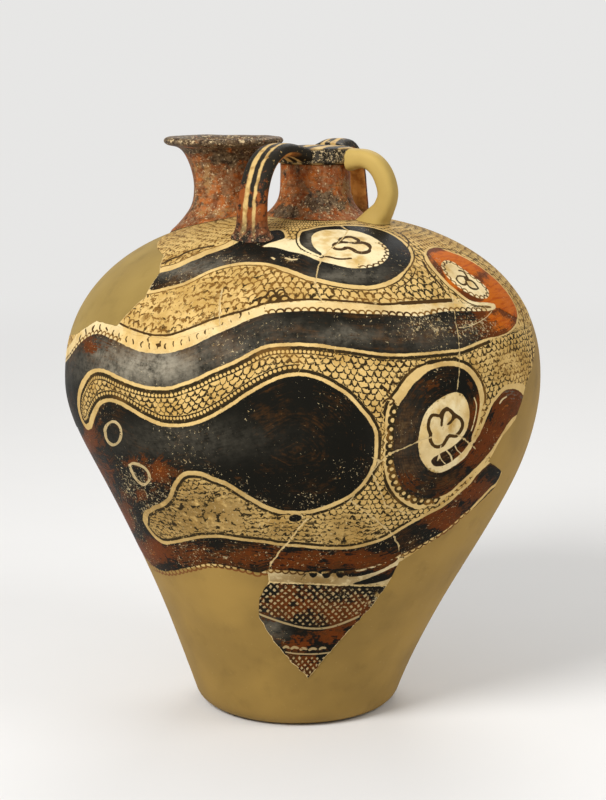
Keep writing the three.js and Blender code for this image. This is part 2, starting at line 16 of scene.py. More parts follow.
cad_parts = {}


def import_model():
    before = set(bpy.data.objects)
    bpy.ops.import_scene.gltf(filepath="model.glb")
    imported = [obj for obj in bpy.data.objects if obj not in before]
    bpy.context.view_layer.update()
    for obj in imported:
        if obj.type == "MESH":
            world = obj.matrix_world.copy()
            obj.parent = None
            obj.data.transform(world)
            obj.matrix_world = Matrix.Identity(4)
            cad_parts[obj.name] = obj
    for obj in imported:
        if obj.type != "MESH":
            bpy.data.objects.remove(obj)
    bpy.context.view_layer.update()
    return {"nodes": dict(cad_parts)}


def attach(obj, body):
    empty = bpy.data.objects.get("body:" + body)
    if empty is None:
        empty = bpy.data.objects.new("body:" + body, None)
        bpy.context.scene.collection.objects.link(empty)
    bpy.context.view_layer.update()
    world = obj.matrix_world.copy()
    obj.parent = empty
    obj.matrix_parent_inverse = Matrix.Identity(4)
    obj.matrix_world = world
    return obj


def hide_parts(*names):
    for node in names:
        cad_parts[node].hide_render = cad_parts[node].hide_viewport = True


LOG = logging.getLogger("stirrup_jar")
MM = 0.001
FAR = 30.0
NOISE_SEED = 11
SEAT_GAP = 0.3
FLAT_RADIUS = 150.0
POINT_SIZE = 0.66
Colour = tuple[float, float, float]
Socket = bpy.types.NodeSocket


class Dress(Enum):
    """How the clay beside a painted edge is finished."""

    BARE = 0
    LINED = 1
    BEADED = 2
    SCALLOPED = 3
    RINGED = 4


class Tone(Enum):
    """A local change of the fired paint, or a grey painted highlight laid on it."""

    RED = "red"
    # painted sheen: a grey painted highlight standing in for light glinting on the glossy slip
    PAINTED_SHEEN = "painted_sheen"
    BROWN = "brown"
    WORN = "worn"
    DULL = "dull"


class Slot(Enum):
    """Finish slots."""

    PLASTER = "plaster"
    STRIPED = "striped_clay"
    RED = "red_painted_clay"
    DARK = "dark_painted_clay"


def spline(points: np.ndarray, step: float, closed: bool = False) -> tuple[np.ndarray, np.ndarray]:
    """Runs a smooth curve through points.

    Args:
        points: control points, one per row.
        step: wanted spacing along the curve.
        closed: whether the last point joins the first.

    Returns:
        The samples, and for each the number of the control point it follows.
    """
    count = len(points)
    spans = count if closed else count - 1
    samples: list[np.ndarray] = []
    owners: list[int] = []
    for i in range(spans):
        near, far = points[i], points[(i + 1) % count]
        before = points[i - 1] if closed or i > 0 else near
        after = points[(i + 2) % count] if closed or i + 2 < count else far
        pieces = max(1, int(round(float(np.linalg.norm(far - near)) / step)))
        t = (np.arange(pieces) / pieces)[:, None]
        samples.append(0.5 * (2 * near + (far - before) * t + (2 * before - 5 * near + 4 * far - after) * t ** 2
                              + (3 * near - before - 3 * far + after) * t ** 3))
        owners += [i] * pieces
    if not closed:
        samples.append(points[-1:])
        owners.append(count - 1)
    return np.vstack(samples), np.array(owners)


def trace(text: str) -> np.ndarray:
    """Reads a traced line, written as x,y pairs in picture points, into rows of x and y."""
    return np.array([[float(n) for n in pair.split(",")] for pair in text.split()])


def soft_patches(pixels: np.ndarray, rows: np.ndarray) -> np.ndarray:
    """Lays soft patches over picture points and keeps the strongest at each.

    Args:
        pixels: rows of picture x and y.
        rows: a patch per row: its centre's x and y, its reach across and down, and its strength.

    Returns:
        The strength per picture point.
    """
    total = np.zeros(len(pixels))
    for x, y, wide, tall, strength in rows:
        far = ((pixels[:, 0] - x) / wide) ** 2 + ((pixels[:, 1] - y) / tall) ** 2
        total = np.maximum(total, strength * np.exp(-far))
    return total


def inside(points: np.ndarray, loops: list[np.ndarray]) -> np.ndarray:
    """Says which points lie inside a set of closed loops, by the even-odd rule.

    Args:
        points: rows of x and y.
        loops: closed loops of x and y.

    Returns:
        One truth value per point.
    """
    odd = np.zeros(len(points), bool)
    for loop in loops:
        low, high = loop.min(0), loop.max(0)
        pick = np.nonzero(np.all((points >= low) & (points <= high), axis=1))[0]
        for chunk in np.array_split(pick, max(1, len(pick) // 4000)):
            x, y = points[chunk, 0][:, None], points[chunk, 1][:, None]
            ax, ay = loop[:, 0], loop[:, 1]
            bx, by = np.roll(ax, -1), np.roll(ay, -1)
            rise = np.where(by == ay, 1e-12, by - ay)
            crosses = ((ay > y) != (by > y)) & (x < (bx - ax) * (y - ay) / rise + ax)
            odd[chunk] ^= (crosses.sum(1) % 2).astype(bool)
    return odd


def tree_of(points: np.ndarray) -> KDTree:
    """Makes a nearest-point tree of rows of two or three numbers."""
    tree = KDTree(len(points))
    for i, row in enumerate(points):
        tree.insert((row[0], row[1], row[2] if len(row) > 2 else 0.0), i)
    tree.balance()
    return tree


def nearest(tree: KDTree, points: np.ndarray) -> tuple[np.ndarray, np.ndarray]:
    """Finds the nearest tree point to each row.

    Args:
        tree: the nearest-point tree.
        points: rows of two or three numbers.

    Returns:
        The number of the nearest point and its distance, per row.
    """
    index = np.zeros(len(points), int)
    gap = np.zeros(len(points))
    for i, row in enumerate(points):
        _, index[i], gap[i] = tree.find((row[0], row[1], row[2] if len(row) > 2 else 0.0))
    return index, gap


@dataclass
class PotBody:
    """The pot's outer wall as a slightly slumped surface of revolution, in millimetres."""

    foot_radius: float = 63.0
    foot_round: float = 15.2
    foot_lean: float = 19.3
    foot_sweep: float = 116.0
    belly_sweep: float = 54.0
    belly_radius: float = 175.7
    belly_height: float = 248.0
    crown_height: float = 368.6
    shoulder_fullness: float = 2.3
    wall: float = 8.0
    floor: float = 11.0
    slump: float = 4.3
    slump_height: float = 170.0
    slump_azimuth: float = 26.0

    def __post_init__(self) -> None:
        """Works out the profile once."""
        lean = math.radians(self.foot_lean)
        flat = np.column_stack([np.linspace(0.0, self.foot_radius, 20, endpoint=False), np.zeros(20)])
        turn = np.linspace(-math.pi / 2, -lean, 24, endpoint=False)
        foot = np.column_stack([self.foot_radius + self.foot_round * np.cos(turn),
                                self.foot_round * (1 + np.sin(turn))])
        end = np.array([self.foot_radius + self.foot_round * math.cos(lean), self.foot_round * (1 - math.sin(lean))])
        sweep = [end, end + self.foot_sweep * np.array([math.sin(lean), math.cos(lean)]),
                 np.array([self.belly_radius, self.belly_height - self.belly_sweep]),
                 np.array([self.belly_radius, self.belly_height])]
        t = np.linspace(0, 1, 320, endpoint=False)[:, None]
        wall = ((1 - t) ** 3 * sweep[0] + 3 * (1 - t) ** 2 * t * sweep[1] + 3 * (1 - t) * t ** 2 * sweep[2]
                + t ** 3 * sweep[3])
        a = np.linspace(0, math.pi / 2, 480)
        power = 2 / self.shoulder_fullness
        dome = np.column_stack([self.belly_radius * np.clip(np.cos(a), 0, 1) ** power,
                                self.belly_height + (self.crown_height - self.belly_height) * np.sin(a) ** power])
        line = np.vstack([flat, foot, wall, dome])
        run = np.concatenate([[0], np.cumsum(np.linalg.norm(np.diff(line, axis=0), axis=1))])
        self.arc = run - self.foot_radius
        self.radius, self.height = line[:, 0], line[:, 1]
        tangent = np.gradient(line, run, axis=0)
        tangent /= np.linalg.norm(tangent, axis=1)[:, None]
        self.normal = np.column_stack([tangent[:, 1], -tangent[:, 0]])

    def shift(self, z: np.ndarray) -> np.ndarray:
        """Gives how far the ring at each height has slumped sideways."""
        low = -self.slump * np.cos(math.pi * z / self.slump_height)
        room = self.belly_height - self.slump_height
        mid = self.slump * (1 + np.cos(math.pi * (z - self.slump_height) / room)) / 2
        return np.where(z < self.slump_height, low, np.where(z < self.belly_height, mid, 0.0))

    def point(self, azimuth: np.ndarray, arc: np.ndarray, out: np.ndarray | float = 0.0) -> np.ndarray:
        """Places points on the wall.

        Args:
            azimuth: degrees round the axis.
            arc: millimetres up the wall from the foot's edge.
            out: millimetres off the wall.

        Returns:
            Rows of x, y and z.
        """
        turn, lean = np.radians(azimuth), math.radians(self.slump_azimuth)
        z = np.interp(arc, self.arc, self.height)
        nr, nz = np.interp(arc, self.arc, self.normal[:, 0]), np.interp(arc, self.arc, self.normal[:, 1])
        r = np.interp(arc, self.arc, self.radius) + nr * out
        move = self.shift(z)
        return np.column_stack([r * np.cos(turn) + move * math.cos(lean), r * np.sin(turn) + move * math.sin(lean),
                                z + nz * out])

    def locate(self, points: np.ndarray) -> tuple[np.ndarray, np.ndarray, np.ndarray]:
        """Finds where points lie against the wall.

        Args:
            points: rows of x, y and z.

        Returns:
            Azimuth in degrees, arc up the wall and distance off it, per row.
        """
        lean = math.radians(self.slump_azimuth)
        move = self.shift(points[:, 2])
        x, y = points[:, 0] - move * math.cos(lean), points[:, 1] - move * math.sin(lean)
        r, z = np.hypot(x, y), points[:, 2]
        best = np.zeros(len(points), int)
        for chunk in np.array_split(np.arange(len(points)), max(1, len(points) // 3000)):
            gap = (r[chunk][:, None] - self.radius) ** 2 + (z[chunk][:, None] - self.height) ** 2
            best[chunk] = gap.argmin(1)
        dr, dz = r - self.radius[best], z - self.height[best]
        nr, nz = self.normal[best, 0], self.normal[best, 1]
        return np.degrees(np.arctan2(y, x)), self.arc[best] - dr * nz + dz * nr, dr * nr + dz * nz

    def width(self, arc: np.ndarray) -> np.ndarray:
        """Gives the wall's radius at each arc."""
        return np.interp(arc, self.arc, self.radius)

    def top(self, x: np.ndarray, y: np.ndarray) -> np.ndarray:
        """Gives the shoulder's height over each x and y."""
        dome = self.height >= self.belly_height
        return np.interp(np.hypot(x, y), self.radius[dome][::-1], self.height[dome][::-1])


@dataclass(frozen=True)
class PictureView:
    """Where the picture was taken from, in millimetres and picture points."""

    distance: float = 1387.16
    height: float = 478.23
    pitch: float = 0.1775
    turn: float = 26.0
    lens: float = 85.0
    sensor: float = 36.0
    wide: float = 606.0
    tall: float = 800.0

    @property
    def focal(self) -> float:
        """Focal length in picture points."""
        return self.lens / self.sensor * self.tall

    def _turned(self, points: np.ndarray, sign: float) -> np.ndarray:
        """Turns points about the axis, by the view's turn times sign."""
        c, s = math.cos(math.radians(self.turn)), sign * math.sin(math.radians(self.turn))
        return np.column_stack([points[:, 0] * c - points[:, 1] * s, points[:, 0] * s + points[:, 1] * c,
                                points[:, 2]])

    def project(self, points: np.ndarray) -> np.ndarray:
        """Gives the picture point of each row of x, y and z."""
        p = self._turned(points, -1.0) - np.array([0.0, -self.distance, self.height])
        c, s = math.cos(self.pitch), math.sin(self.pitch)
        depth = p[:, 1] * c - p[:, 2] * s
        up = p[:, 1] * s + p[:, 2] * c
        return np.column_stack([self.wide / 2 + self.focal * p[:, 0] / depth, self.tall / 2
                                - self.focal * up / depth])

    def meet(self, pixels: np.ndarray, body: PotBody) -> tuple[np.ndarray, np.ndarray]:
        """Carries picture points onto the pot.

        Args:
            pixels: rows of x and y.
            body: the pot's wall.

        Returns:
            Rows of x, y and z, and whether each ray met the wall.
        """
        u, v = (pixels[:, 0] - self.wide / 2) / self.focal, (self.tall / 2 - pixels[:, 1]) / self.focal
        c, s = math.cos(self.pitch), math.sin(self.pitch)
        ray = np.column_stack([u, c + v * s, -s + v * c])
        eye = np.array([0.0, -self.distance, self.height])
        rising = body.arc >= 0

        def within(t: np.ndarray) -> np.ndarray:
            """Says whether the ray is inside the wall at t."""
            p = eye + ray * t[:, None]
            reach = np.interp(p[:, 2], body.height[rising], body.radius[rising])
            return ((p[:, 2] > 0) & (p[:, 2] < body.crown_height)
                    & (np.hypot(p[:, 0] - body.shift(p[:, 2]), p[:, 1]) < reach))

        steps = np.linspace(self.distance - 230, self.distance + 230, 300)
        before = np.full(len(pixels), steps[0])
        after = np.full(len(pixels), steps[-1])
        met = np.zeros(len(pixels), bool)
        for near, far in zip(steps[:-1], steps[1:]):
            fresh = within(np.full(len(pixels), far)) & ~met
            before[fresh], after[fresh] = near, far
            met |= fresh
        for _ in range(14):
            half = (before + after) / 2
            deep = within(half)
            after, before = np.where(deep, half, after), np.where(deep, before, half)
        return self._turned(eye + ray * after[:, None], 1.0), met


@dataclass(frozen=True)
class Side:
    """One side of a painted shape: its traced line, the pale line beside it in picture points, and its dress."""

    line: str
    pale: float = 3.6
    dress: Dress = Dress.LINED


@dataclass(frozen=True)
class Stroke:
    """A brush stroke: its traced line, its width in picture points, and whether it closes on itself."""

    line: str
    width: float = 2.0
    closed: bool = False


@dataclass(frozen=True)
class OctopusTraces:
    """The painter's shapes, traced on the picture, front side only.

    A patch where the fired paint changes, or where a grey painted highlight is laid on, is its centre's x and y, its
    reach across and down, and its strength.
    """

    upper_arm: tuple[Side, ...] = (
        Side("322,256 318,254.5 310,250.5 303,246.5 300,242 299.5,238 302,232 310,229.8 320,227.3 335,226 350,226 "
             "362,226.5 372,227.8 380,230 388,233 396,237.5 403,243 408.5,249.5 411,256 410,262 406,268.3", 2.2),
        Side("399,274.7 390,280.2 380,283.7 370,285.7 360,285.5 350,284.7 340,283.2 330,281.2 320,278.7 310,276.5 "
             "300,272.7 290,269", 4.8),
        Side("280,266 270,263.5 262,262.5 250,262 240,262.5 230,264.2 220,266.7 210,270.2 200,274.7 190,279.7 "
             "180,283.7 170,286.2 160,288.7 151,290.5", 3.2),
        Side("149,287 151,282 155,276.5 160,273 170,270.5 180,266.8 190,262 200,258 207,254.5 215,252 222,249.5 "
             "230,246.5 236,243", 5.5),
        Side("245,238.5 254,234.5 262,232 272,230.3 280,230 284,233 284,238 276,241 268,243.5 262,246.7 270,246.7 "
             "278,248 288,251 300,253.5 310,257 318,260.5", 2.0, Dress.BARE),
        Side("330,263.5 342,266.5 352,268.2", 0.6, Dress.BARE),
        Side("360,268.3 370,267.5 380,264.7 386,260 389,254 387,248", 0.6, Dress.SCALLOPED),
        Side("380,242 372,237 362,233 350,230.5 338,229.5 325,230 317,232 312,236 311.5,241 314,247 321,253", 0.6,
             Dress.BARE),
    )
    octopus: tuple[Side, ...] = (
        Side("60,372 66,362 70,357 75,349.6 80.8,342.7 90,335.8 99.2,334 109.6,338", 3.0, Dress.SCALLOPED),
        Side("120,342.7 129.2,347.3 139.6,351.3 150,353 160.4,353.7 170.8,352.5 181.2,349.6 191.5,346.2 200.8,341.5 "
             "210,337 221.5,332 235,326.3 250,319.4", 1.0, Dress.BARE),
        Side("266,314.2 280,312.5 300,311.3 319,311.3 340,312.5 358.5,313.7 381.5,314.2 400,315.5 420,316 431,314 "
             "445,311.5 460,311 478,311", 3.0, Dress.SCALLOPED),
        Side("488,310.8 494,309.5 496,306.5 493,303.5 484,302.5 476,302 470,300 463,295.5 455,289 447,282 441,275.5 "
             "436,270 430,262", 3.0, Dress.LINED),
        Side("427,256 426.5,252.5 429,249.5 433,248 438,247.5 445,250.3 452,252.8 460,255.7 468,259.7 476,264.4 "
             "484,270 491,275.6 497,281 502.5,287 507.5,293 512,300 515.5,307 517.2,313 517.2,319 515.4,324.5 "
             "511.5,329.3 506,333.2 498,336.2", 1.6, Dress.BARE),
        Side("489,337.8 480,340.7 470.8,344.7 461.5,348.2 452,349.7 440.8,350.8 424.6,352.4 412,353.2 400,353.7 "
             "381.5,353 370,351.5 358.5,349.8 347,348", 3.4),
        Side("335.4,346.5 323.8,344.6 312,343.5 299.6,342.8 284.6,343 272,344 261.5,346.3 252.3,350.8 243,356 "
             "231.5,361.8 221.5,366 210,370.8 200.8,375.4 191.5,379.4 181.2,382.8 170.8,386.3 160.4,386.9 150,386.3 "
             "139.6,384 129.2,380.6 120,376.5 109.6,371.3 102.7,368.8 94.6,368.8 87.7,372.5 82,380.6 78.5,389.8 "
             "77.3,400.2 77.9,409.6 80.8,420 84.8,427.3 88.3,430 91.7,427.6 94,421 97,413 100.4,406 106,402.5 112,402 "
             "120,405 129.2,410.2 139.6,416.5 150,421.7 160.4,425.8 170.8,427 181,427 191.5,425.5 200.8,422.9 "
             "210,418.8 221.5,412.5 231.5,406.5 243,398.5 253.5,392 263.8,386.3 275.4,380.6 287,377", 4.2, Dress.BEADED),
        Side("299.6,376 311,377.7 321.5,381 333,387 344.6,394.4 352.7,402 359.6,410 366.5,418 370,424 372,427 "
             "374.4,434 374.6,445 374,455 373,463 371,467 368,474 364,480 358,487 350,494 340,499.5 330,504 320,507.5 "
             "310,510 300,511 290,511", 4.4),
        Side("280,510 270,506.5 264,504 256,499.5 248,495 240,490 232,485 226,481.5 219,479 212,476.5 207,474 201,472 "
             "195,471 189,471 183,472.5 178,476.5 174,482 171,488 169,494 166,499 160,503.5 154,505.5 149.5,508.5 "
             "145,510.5 143,514 142.6,519.5", 5.2),
        Side("143,521.5 146,527 151,534 158,541 165,544.5 172,544 180,542.5 190,540.5 200,538.5 210,538 222,538 "
             "232,539.5 242,541 252,542 262,543 272,544.5 280,546 300,547 320,549 333,549.5 350,549 365,546 380,541.5 "
             "392,536 400,531", 3.2),
        Side("410,525 420,519.5 430,514 440,509 450,502 460,493 470,484 477,475 484,468 491,462.5", 3.2, Dress.BARE),
        Side("497,466 501,470 500,476 496,483 491,487 483,495.5 477,501.5", 2.5),
        Side("470,509 463,514.5 455,522.5 445,530.5 435,536.5 425,542.5 415,548.5 405,553", 2.5, Dress.SCALLOPED),
        Side("398,556 388,561 378,564.5 365,568 352,571 340,573 325,573 310,573 300,571.5 280,570 270,569.5", 2.5,
             Dress.SCALLOPED),
        Side("258,573 250,571 240,568.5 225,565.5 215,564 205,564 195,566.5 185,568.5 175,571 165,571.5 155,568 "
             "146,564 135,550 124,532 112,510", 2.5, Dress.SCALLOPED),
        Side("96,480 80,452 66,420 58,395", 1.0, Dress.BARE),
    )
    spiral_arm: tuple[Side, ...] = (
        Side("504.2,391 512.3,388.8 519.2,391 523.8,397 525,405 523.8,413 515.8,415.4 508.8,422.3 503,431.5 497.3,440.8",
             6.0, Dress.BARE),
        Side("491.5,450 487,455.5 481.5,462 474.5,468.8 466.5,476.5 457.5,484.5 450,491.5", 3.0, Dress.BARE),
        Side("440,496.5 430,498.5 420,498 411,494.5 404,489 398.5,481 395.5,471 393.5,461 393,450 393.5,440 394.5,428 "
             "396.5,414", 13.0, Dress.RINGED),
        Side("399.2,404.5 406.2,394.6 413,384.5 421.2,377", 11.5),
        Side("427,371.8 433.8,368.5 445,366 456,366.5 465,370 472,377 477,386 479.5,395", 6.0),
        Side("480,405 478.5,416 476,426 473,434 471.5,440 474,443.5 477,439 481.2,431.5 487,417.7 492.7,405 498.5,397",
             3.0, Dress.BARE),
    )
    red_oval: tuple[Side, ...] = (
        Side("441,264 444,261 449,260.5 455,263 462,268 470,274 477,279 484,285 488,290 489,294.5 487,298 481,298.5 "
             "474,296.5 466,292 458,287 451,281 445,274 442,268", 0.6, Dress.SCALLOPED),
    )
    spiral_oval: tuple[Side, ...] = (
        Side("455.8,392.3 462.7,394.6 467.3,401.5 469.6,410.8 469,422.3 466.5,431 461.5,438.5 455,444.5 447.5,449.5 "
             "440,453.5 434,457 430.5,461 433.5,465.3 440,466.3 448,463.3 456,457.8 463,451.3 468.5,444.3 472.5,441.5 "
             "472.5,445.5 466,456 458,463.2 448.8,469 440.8,472.3 431.5,471 424.6,465 420,457 418,445.4 418.8,433.8 "
             "421.2,422.3 425.8,412 432.7,403.8 440.8,398 448.8,394", 0.6, Dress.BARE),
    )
    teeth: tuple[str, ...] = (
        "308.5,572 310.5,576.5 313.5,577.5 316,576 317.5,572",
        "321.5,572 323.5,577 326.5,578 329.5,576.5 331,572",
        "335.5,572 337.5,577 340.5,578 343.5,576.5 345,571.5",
        "289,517 294,514.8 300,515.5 302,519 297,522 290.5,521.5",
        "346,573 360,571 378,566 396,558 396,561 380,570 362,575.5 349,576.5",
        "353,583 364,579.5 380,573 397,565.5 396,572 388,579 371,583.5 357,584.5",
    )
    dark_strokes: tuple[Stroke, ...] = (
        Stroke("79,331 90,320.8 99,317.3 108.5,318 117.7,322 125.8,326.5 135,330 150,334.6 161.5,335.2 170.8,334.6 "
               "184.6,330 198.5,324.8 210,320.2 221.5,316.7 231.5,313.7 243,310.8 254.6,306.7 268.5,302.7 295,299.8 "
               "312,299.2 329.6,300 347,301.5 364,302.7 381.5,304.4 400,303.4", 2.2),
        Stroke("400,303.4 420,302.2 440,300.8 452,300.2", 3.6),
        Stroke("164,263 170,259.5 178,256.5 186,252.5 194,249.5 203,247.5 212,246", 1.8),
        Stroke("324,256.3 331,257.5 338,259 345,259 350,258.5", 1.7),
        Stroke("340,239.7 343,237.9 349,237 355,238.5 358.5,241.5 356,243.2 352.5,243", 2.4),
        Stroke("358,243 364,243 368,245 370,248 368.5,251.5 363,253 357,252.2 353,249.8 349,248.2 346,248", 2.8),
        Stroke("346,242.5 339.5,242.5 335,244 333,246.5 335.5,249 341,249.6 346,248.3", 2.3),
        Stroke("459,270.5 463,271.5 466,275 467.5,278.5 466,281", 1.3),
        Stroke("466,280 470,280.3 474,282.5 476.5,286 478,288.7 473.5,289 469,286.5 466.5,283", 1.5),
        Stroke("464.5,277 461,276 457.5,276.5 456.5,279 459,282.5 463.5,284.8 467,284.2", 1.3),
        Stroke("429.2,431.5 428,424.6 431.5,415.4 439.6,415.4 443,410.8 447.3,408.5 452.3,413 455.8,415.4 461.5,420 "
               "462.7,425.8 460.4,431.5 455.8,436 448.8,436 445.4,440.8 442,445.4 435,446.5 430.4,440.8 430.4,433.8",
               3.3, True),
        Stroke("441.5,424.5 442,418 444,412 448,409 452,412 453,417 451.5,421 448.5,423.5", 2.6),
        Stroke("438,247.8 452,250 464,254.2 476,260.3 488,267.8 498,276.6 507,286.4 514,296.2 520,307 523.5,318 "
               "525,330", 1.0),
        Stroke("423,262 427.5,270 433.5,277.5 440,284.5 445.5,291.5", 1.6),
        Stroke("532,347 532.8,360 533,375 532.4,388 531,400", 1.8),
        Stroke("405,252 409,243 404,236 396,231.5", 1.2),
        Stroke("416,268 413,276 406,283.5 396,289.5", 1.2),
        Stroke("259,303 261,298.5 264.5,297 268,298.5 269.5,302 271,297 274.5,295.5 278,297.5 279.5,301.5", 2.1),
        Stroke("279.5,301.5 281.5,296.5 285,295.5 288.5,297 290,301", 2.0),
        Stroke("266,296 269,291.5 273,290.5 276,293.5 279,290 283,289.5 286,293.5", 1.7),
        Stroke("383,403 386,399.5 391,398.5 394,401.5 390,405", 1.9),
    )
    dashes: str = ("80,338 86,332 93,328.5 100,327.5 107,330 113,333 119,336 126,339 133,341.5 141,344 149,346 157,346.5 "
                   "165,346 173,344 181,342 189,339 197,335.5 205,332 213,328.5 222,325 231,321 240,318 249,314.5 "
                   "148,339 160,343.5 387,391 394,384 400,377 409,371 416,365.5 391,395")
    pale_strokes: tuple[Stroke, ...] = (
        Stroke("113,421.6 117.5,423.5 120.6,428.5 120.7,436 118.5,441.8 113.4,444.9 108.3,442.2 105.6,436.3 105.4,429 "
               "108.3,423.8", 2.3, True),
        Stroke("129.7,465.8 133,463.6 139.5,465.3 145.7,469.3 148.9,475 148.5,481 144.5,484.6 139.5,482.9 134.5,477.3 "
               "131,470", 2.3, True),
        Stroke("459,327.5 468,326.5 477,323 486,317.5 492,311", 0.5),
        Stroke("455,446 457,450 461.5,454", 1.0),
        Stroke("446.5,450.5 450.5,455.5 452,460.5", 1.5),
        Stroke("439.5,455.5 441.5,460 445.5,464", 0.9),
        Stroke("474.5,398 476.7,405 476,414 474,423 471.5,431", 1.0),
        Stroke("500,403 503,399 507,396.5", 1.2),
        Stroke("256,612 262,615 270,618 280,621.5 290,624.5 300,627 310,628.3 320,628.3 330,627 340,624 350,620 "
               "358,616.5", 1.9),
        Stroke("286,652 294,653.3 303,653.8 313,653.8 322,653.2 330,652", 1.4),
        Stroke("284,647.5 286,646.3 288,647.2", 2.2),
        Stroke("292,648.3 294,647 296.5,647.6", 2.4),
        Stroke("301,649.2 303.3,648 305.8,648.6", 2.4),
        Stroke("310,649.4 312.5,648.2 315,648.6", 2.4),
        Stroke("320,648.6 322.3,647.4 324.6,647.6", 2.2),
        Stroke("440.8,445.4 439.5,452 437.3,460.4", 0.9),
        Stroke("220.6,295 220,304 221,313", 1.0),
        Stroke("272,257.5 275,259.5", 1.4),
        Stroke("286,258 291,259.5 296,259.3", 1.5),
    )
    plain: tuple[str, ...] = (
        "60,360 79,331 90,320.8 99,317.3 108.5,318 117.7,322 125.8,326.5 135,330 150,334.6 161.5,335.2 170.8,334.6 "
        "184.6,330 198.5,324.8 210,320.2 221.5,316.7 231.5,313.7 243,310.8 254.6,306.7 268.5,302.7 295,299.8 312,299.2 "
        "329.6,300 347,301.5 364,302.7 381.5,304.4 400,303.4 440,300.5 460,299 497,303 497,312 478,316 430,319 "
        "381,319 300,316 266,319 221,337 171,357 150,358 110,343 90,340 70,362 62,372",
        "300,236 320,229 350,227 380,233 396,240 404,252 400,266 389,268 380,270 360,272 340,268 318,262 290,254 "
        "262,247 262,244 284,238 296,240",
        "438,262 449,258 470,272 492,290 488,300 470,297 446,278",
        "416,432 424,408 456,390 472,405 472,432 476,441 468,458 441,475 420,462",
        "255,572 300,574 345,574 400,556 420,560 390,585 300,586 255,582",
    )
    net: tuple[str, ...] = (
        "250,580 300,584 350,588 372,588 372,603 357,614 340,621 323,625.4 308,625.5 290,621.6 270,615 252,608",
        "284,656.5 332,656.5 322,668 309,680 296,670",
    )
    patches: tuple[tuple[Tone, str], ...] = (
        (Tone.RED, "470,258,44,20,1.45 505,292,30,34,1.45 452,282,20,18,1.2 500,322,26,16,1.35 434,258,14,12,1.0 "
                   "484,306,14,10,1.1 470,325,20,12,0.5 515,400,18,18,0.7 505,415,22,20,0.85 492,435,20,18,0.9 "
                   "480,450,16,14,0.85 480,405,10,30,0.85 470,455,16,14,0.7 430,385,30,14,0.32 "
                   "405,480,20,16,0.48 470,490,30,16,0.75 440,515,34,14,0.8 455,524,34,7,1.05 360,560,60,12,0.74 "
                   "300,560,50,12,0.7 250,556,50,12,0.6 185,556,40,14,0.55 150,552,30,14,0.85 88,440,11,30,0.75 "
                   "104,484,11,30,0.72 120,522,12,28,0.8 135,552,14,14,1.0 161,472,17,13,0.95 134,462,16,8,0.6 "
                   "142,496,14,10,0.62 92,345,16,12,0.7 336,636,26,14,0.8 348,612,36,20,0.7 308,662,26,18,0.6 "
                   "295,602,50,24,0.6 300,642,22,8,0.75 247,236,26,12,0.35"),
        # painted sheen patches: grey painted highlights where light glints on the dark slip
        (Tone.PAINTED_SHEEN, "150,366,54,19,1.0 108,352,20,12,0.6 345,336,34,9,0.34 225,350,60,14,0.3 268,630,14,12,0.35 "
                    "190,440,70,18,0.16 200,268,46,9,0.5 345,276,46,8,0.35 511,396,10,8,0.6 312,240,8,14,0.4 "
                    "425,335,60,18,0.17 275,332,50,16,0.15 405,440,26,60,0.08"),
        (Tone.BROWN, "232,260,34,6,0.6 300,332,70,14,0.6 410,335,70,14,0.8 180,276,28,8,0.3 406,455,22,50,1.0 "
                     "440,486,44,14,0.9 432,378,40,14,0.7 476,420,14,44,1.0 290,412,36,14,0.3 300,350,44,10,0.35 "
                     "110,400,30,30,0.3 225,552,40,12,0.5 160,556,26,12,0.5 400,545,40,12,0.5 200,300,95,36,0.9 "
                     "190,240,52,24,0.8 255,283,60,22,0.8 460,332,26,14,0.4 520,280,30,42,0.7 533,350,14,60,0.4 "
                     "470,240,60,12,0.8 508,366,34,22,0.7 85,345,26,16,0.8 445,262,24,14,0.4 425,450,34,34,0.55 "
                     "445,385,40,16,0.4 350,308,100,9,0.75 150,345,110,26,0.85 285,355,60,10,0.6 "
                     "310,605,70,30,0.6"),
        (Tone.WORN, "180,304,60,34,0.8 190,242,46,20,0.75 225,552,44,12,0.7 215,515,90,34,1.0 205,560,36,9,0.6 "
                    "378,595,12,14,1.0 252,228,18,12,0.6 474,327,22,10,0.9 110,335,26,14,0.5 128,495,22,26,0.65 "
                    "430,275,16,16,0.3 278,640,12,10,0.5 540,300,30,60,0.5 455,452,16,12,0.45 286,259,18,4,1.0 "
                    "230,259,28,3,0.9 420,326,60,20,0.75 300,330,60,14,0.35 340,534,54,22,0.9 506,362,24,16,0.8 "
                    "372,600,14,14,0.8"),
        (Tone.DULL, "195,512,75,36,1.0 265,535,60,16,0.7 320,530,70,22,0.55 315,579,90,14,1.0 110,400,34,34,0.5 "
                    "310,628,110,80,1.0 113,433,18,20,0.9 140,474,20,18,0.75"),
    )
    open_cracks: tuple[str, ...] = (
        "345,228 329,247 318,261 314.7,279 322,298", "220.6,295 221,321",
        "452,300 458.7,330 459.2,350 458,370 455.8,385", "378.5,459 391,452.3 400.4,446.5 412,440.8 429,433.8",
        "458,436 466,446 475,441.5", "372.7,467.3 373.8,478.8 378.5,487 384.2,500.8 394.6,507.7 407,513",
        "350,498 370,515 393,533 398,544", "304,519 288,537 269,562", "268,579.5 300,582.5 330,585 362,586.5 387,582",
        "163,239.5 169,252 162,266 155,276 148,291 145,298 120,319", "314,672 339,640 371,605 386,589",
        "258,623 272,640 290,661 307,677",
    )
    row_guide: str = ("94.6,368.8 102.7,368.8 109.6,371.3 120,376.5 129.2,380.6 139.6,384 150,386.3 160.4,386.9 "
                      "170.8,386.3 181.2,382.8 191.5,379.4 200.8,375.4 210,370.8 221.5,366 231.5,361.8 243,356 "
                      "252.3,350.8 261.5,346.3 272,344 284.6,343 299.6,342.8 323.8,344.6 347,348 370,351.5 400,353.7 "
                      "424.6,352.4 452,349.7 470.8,344.7 489,338 506,333")


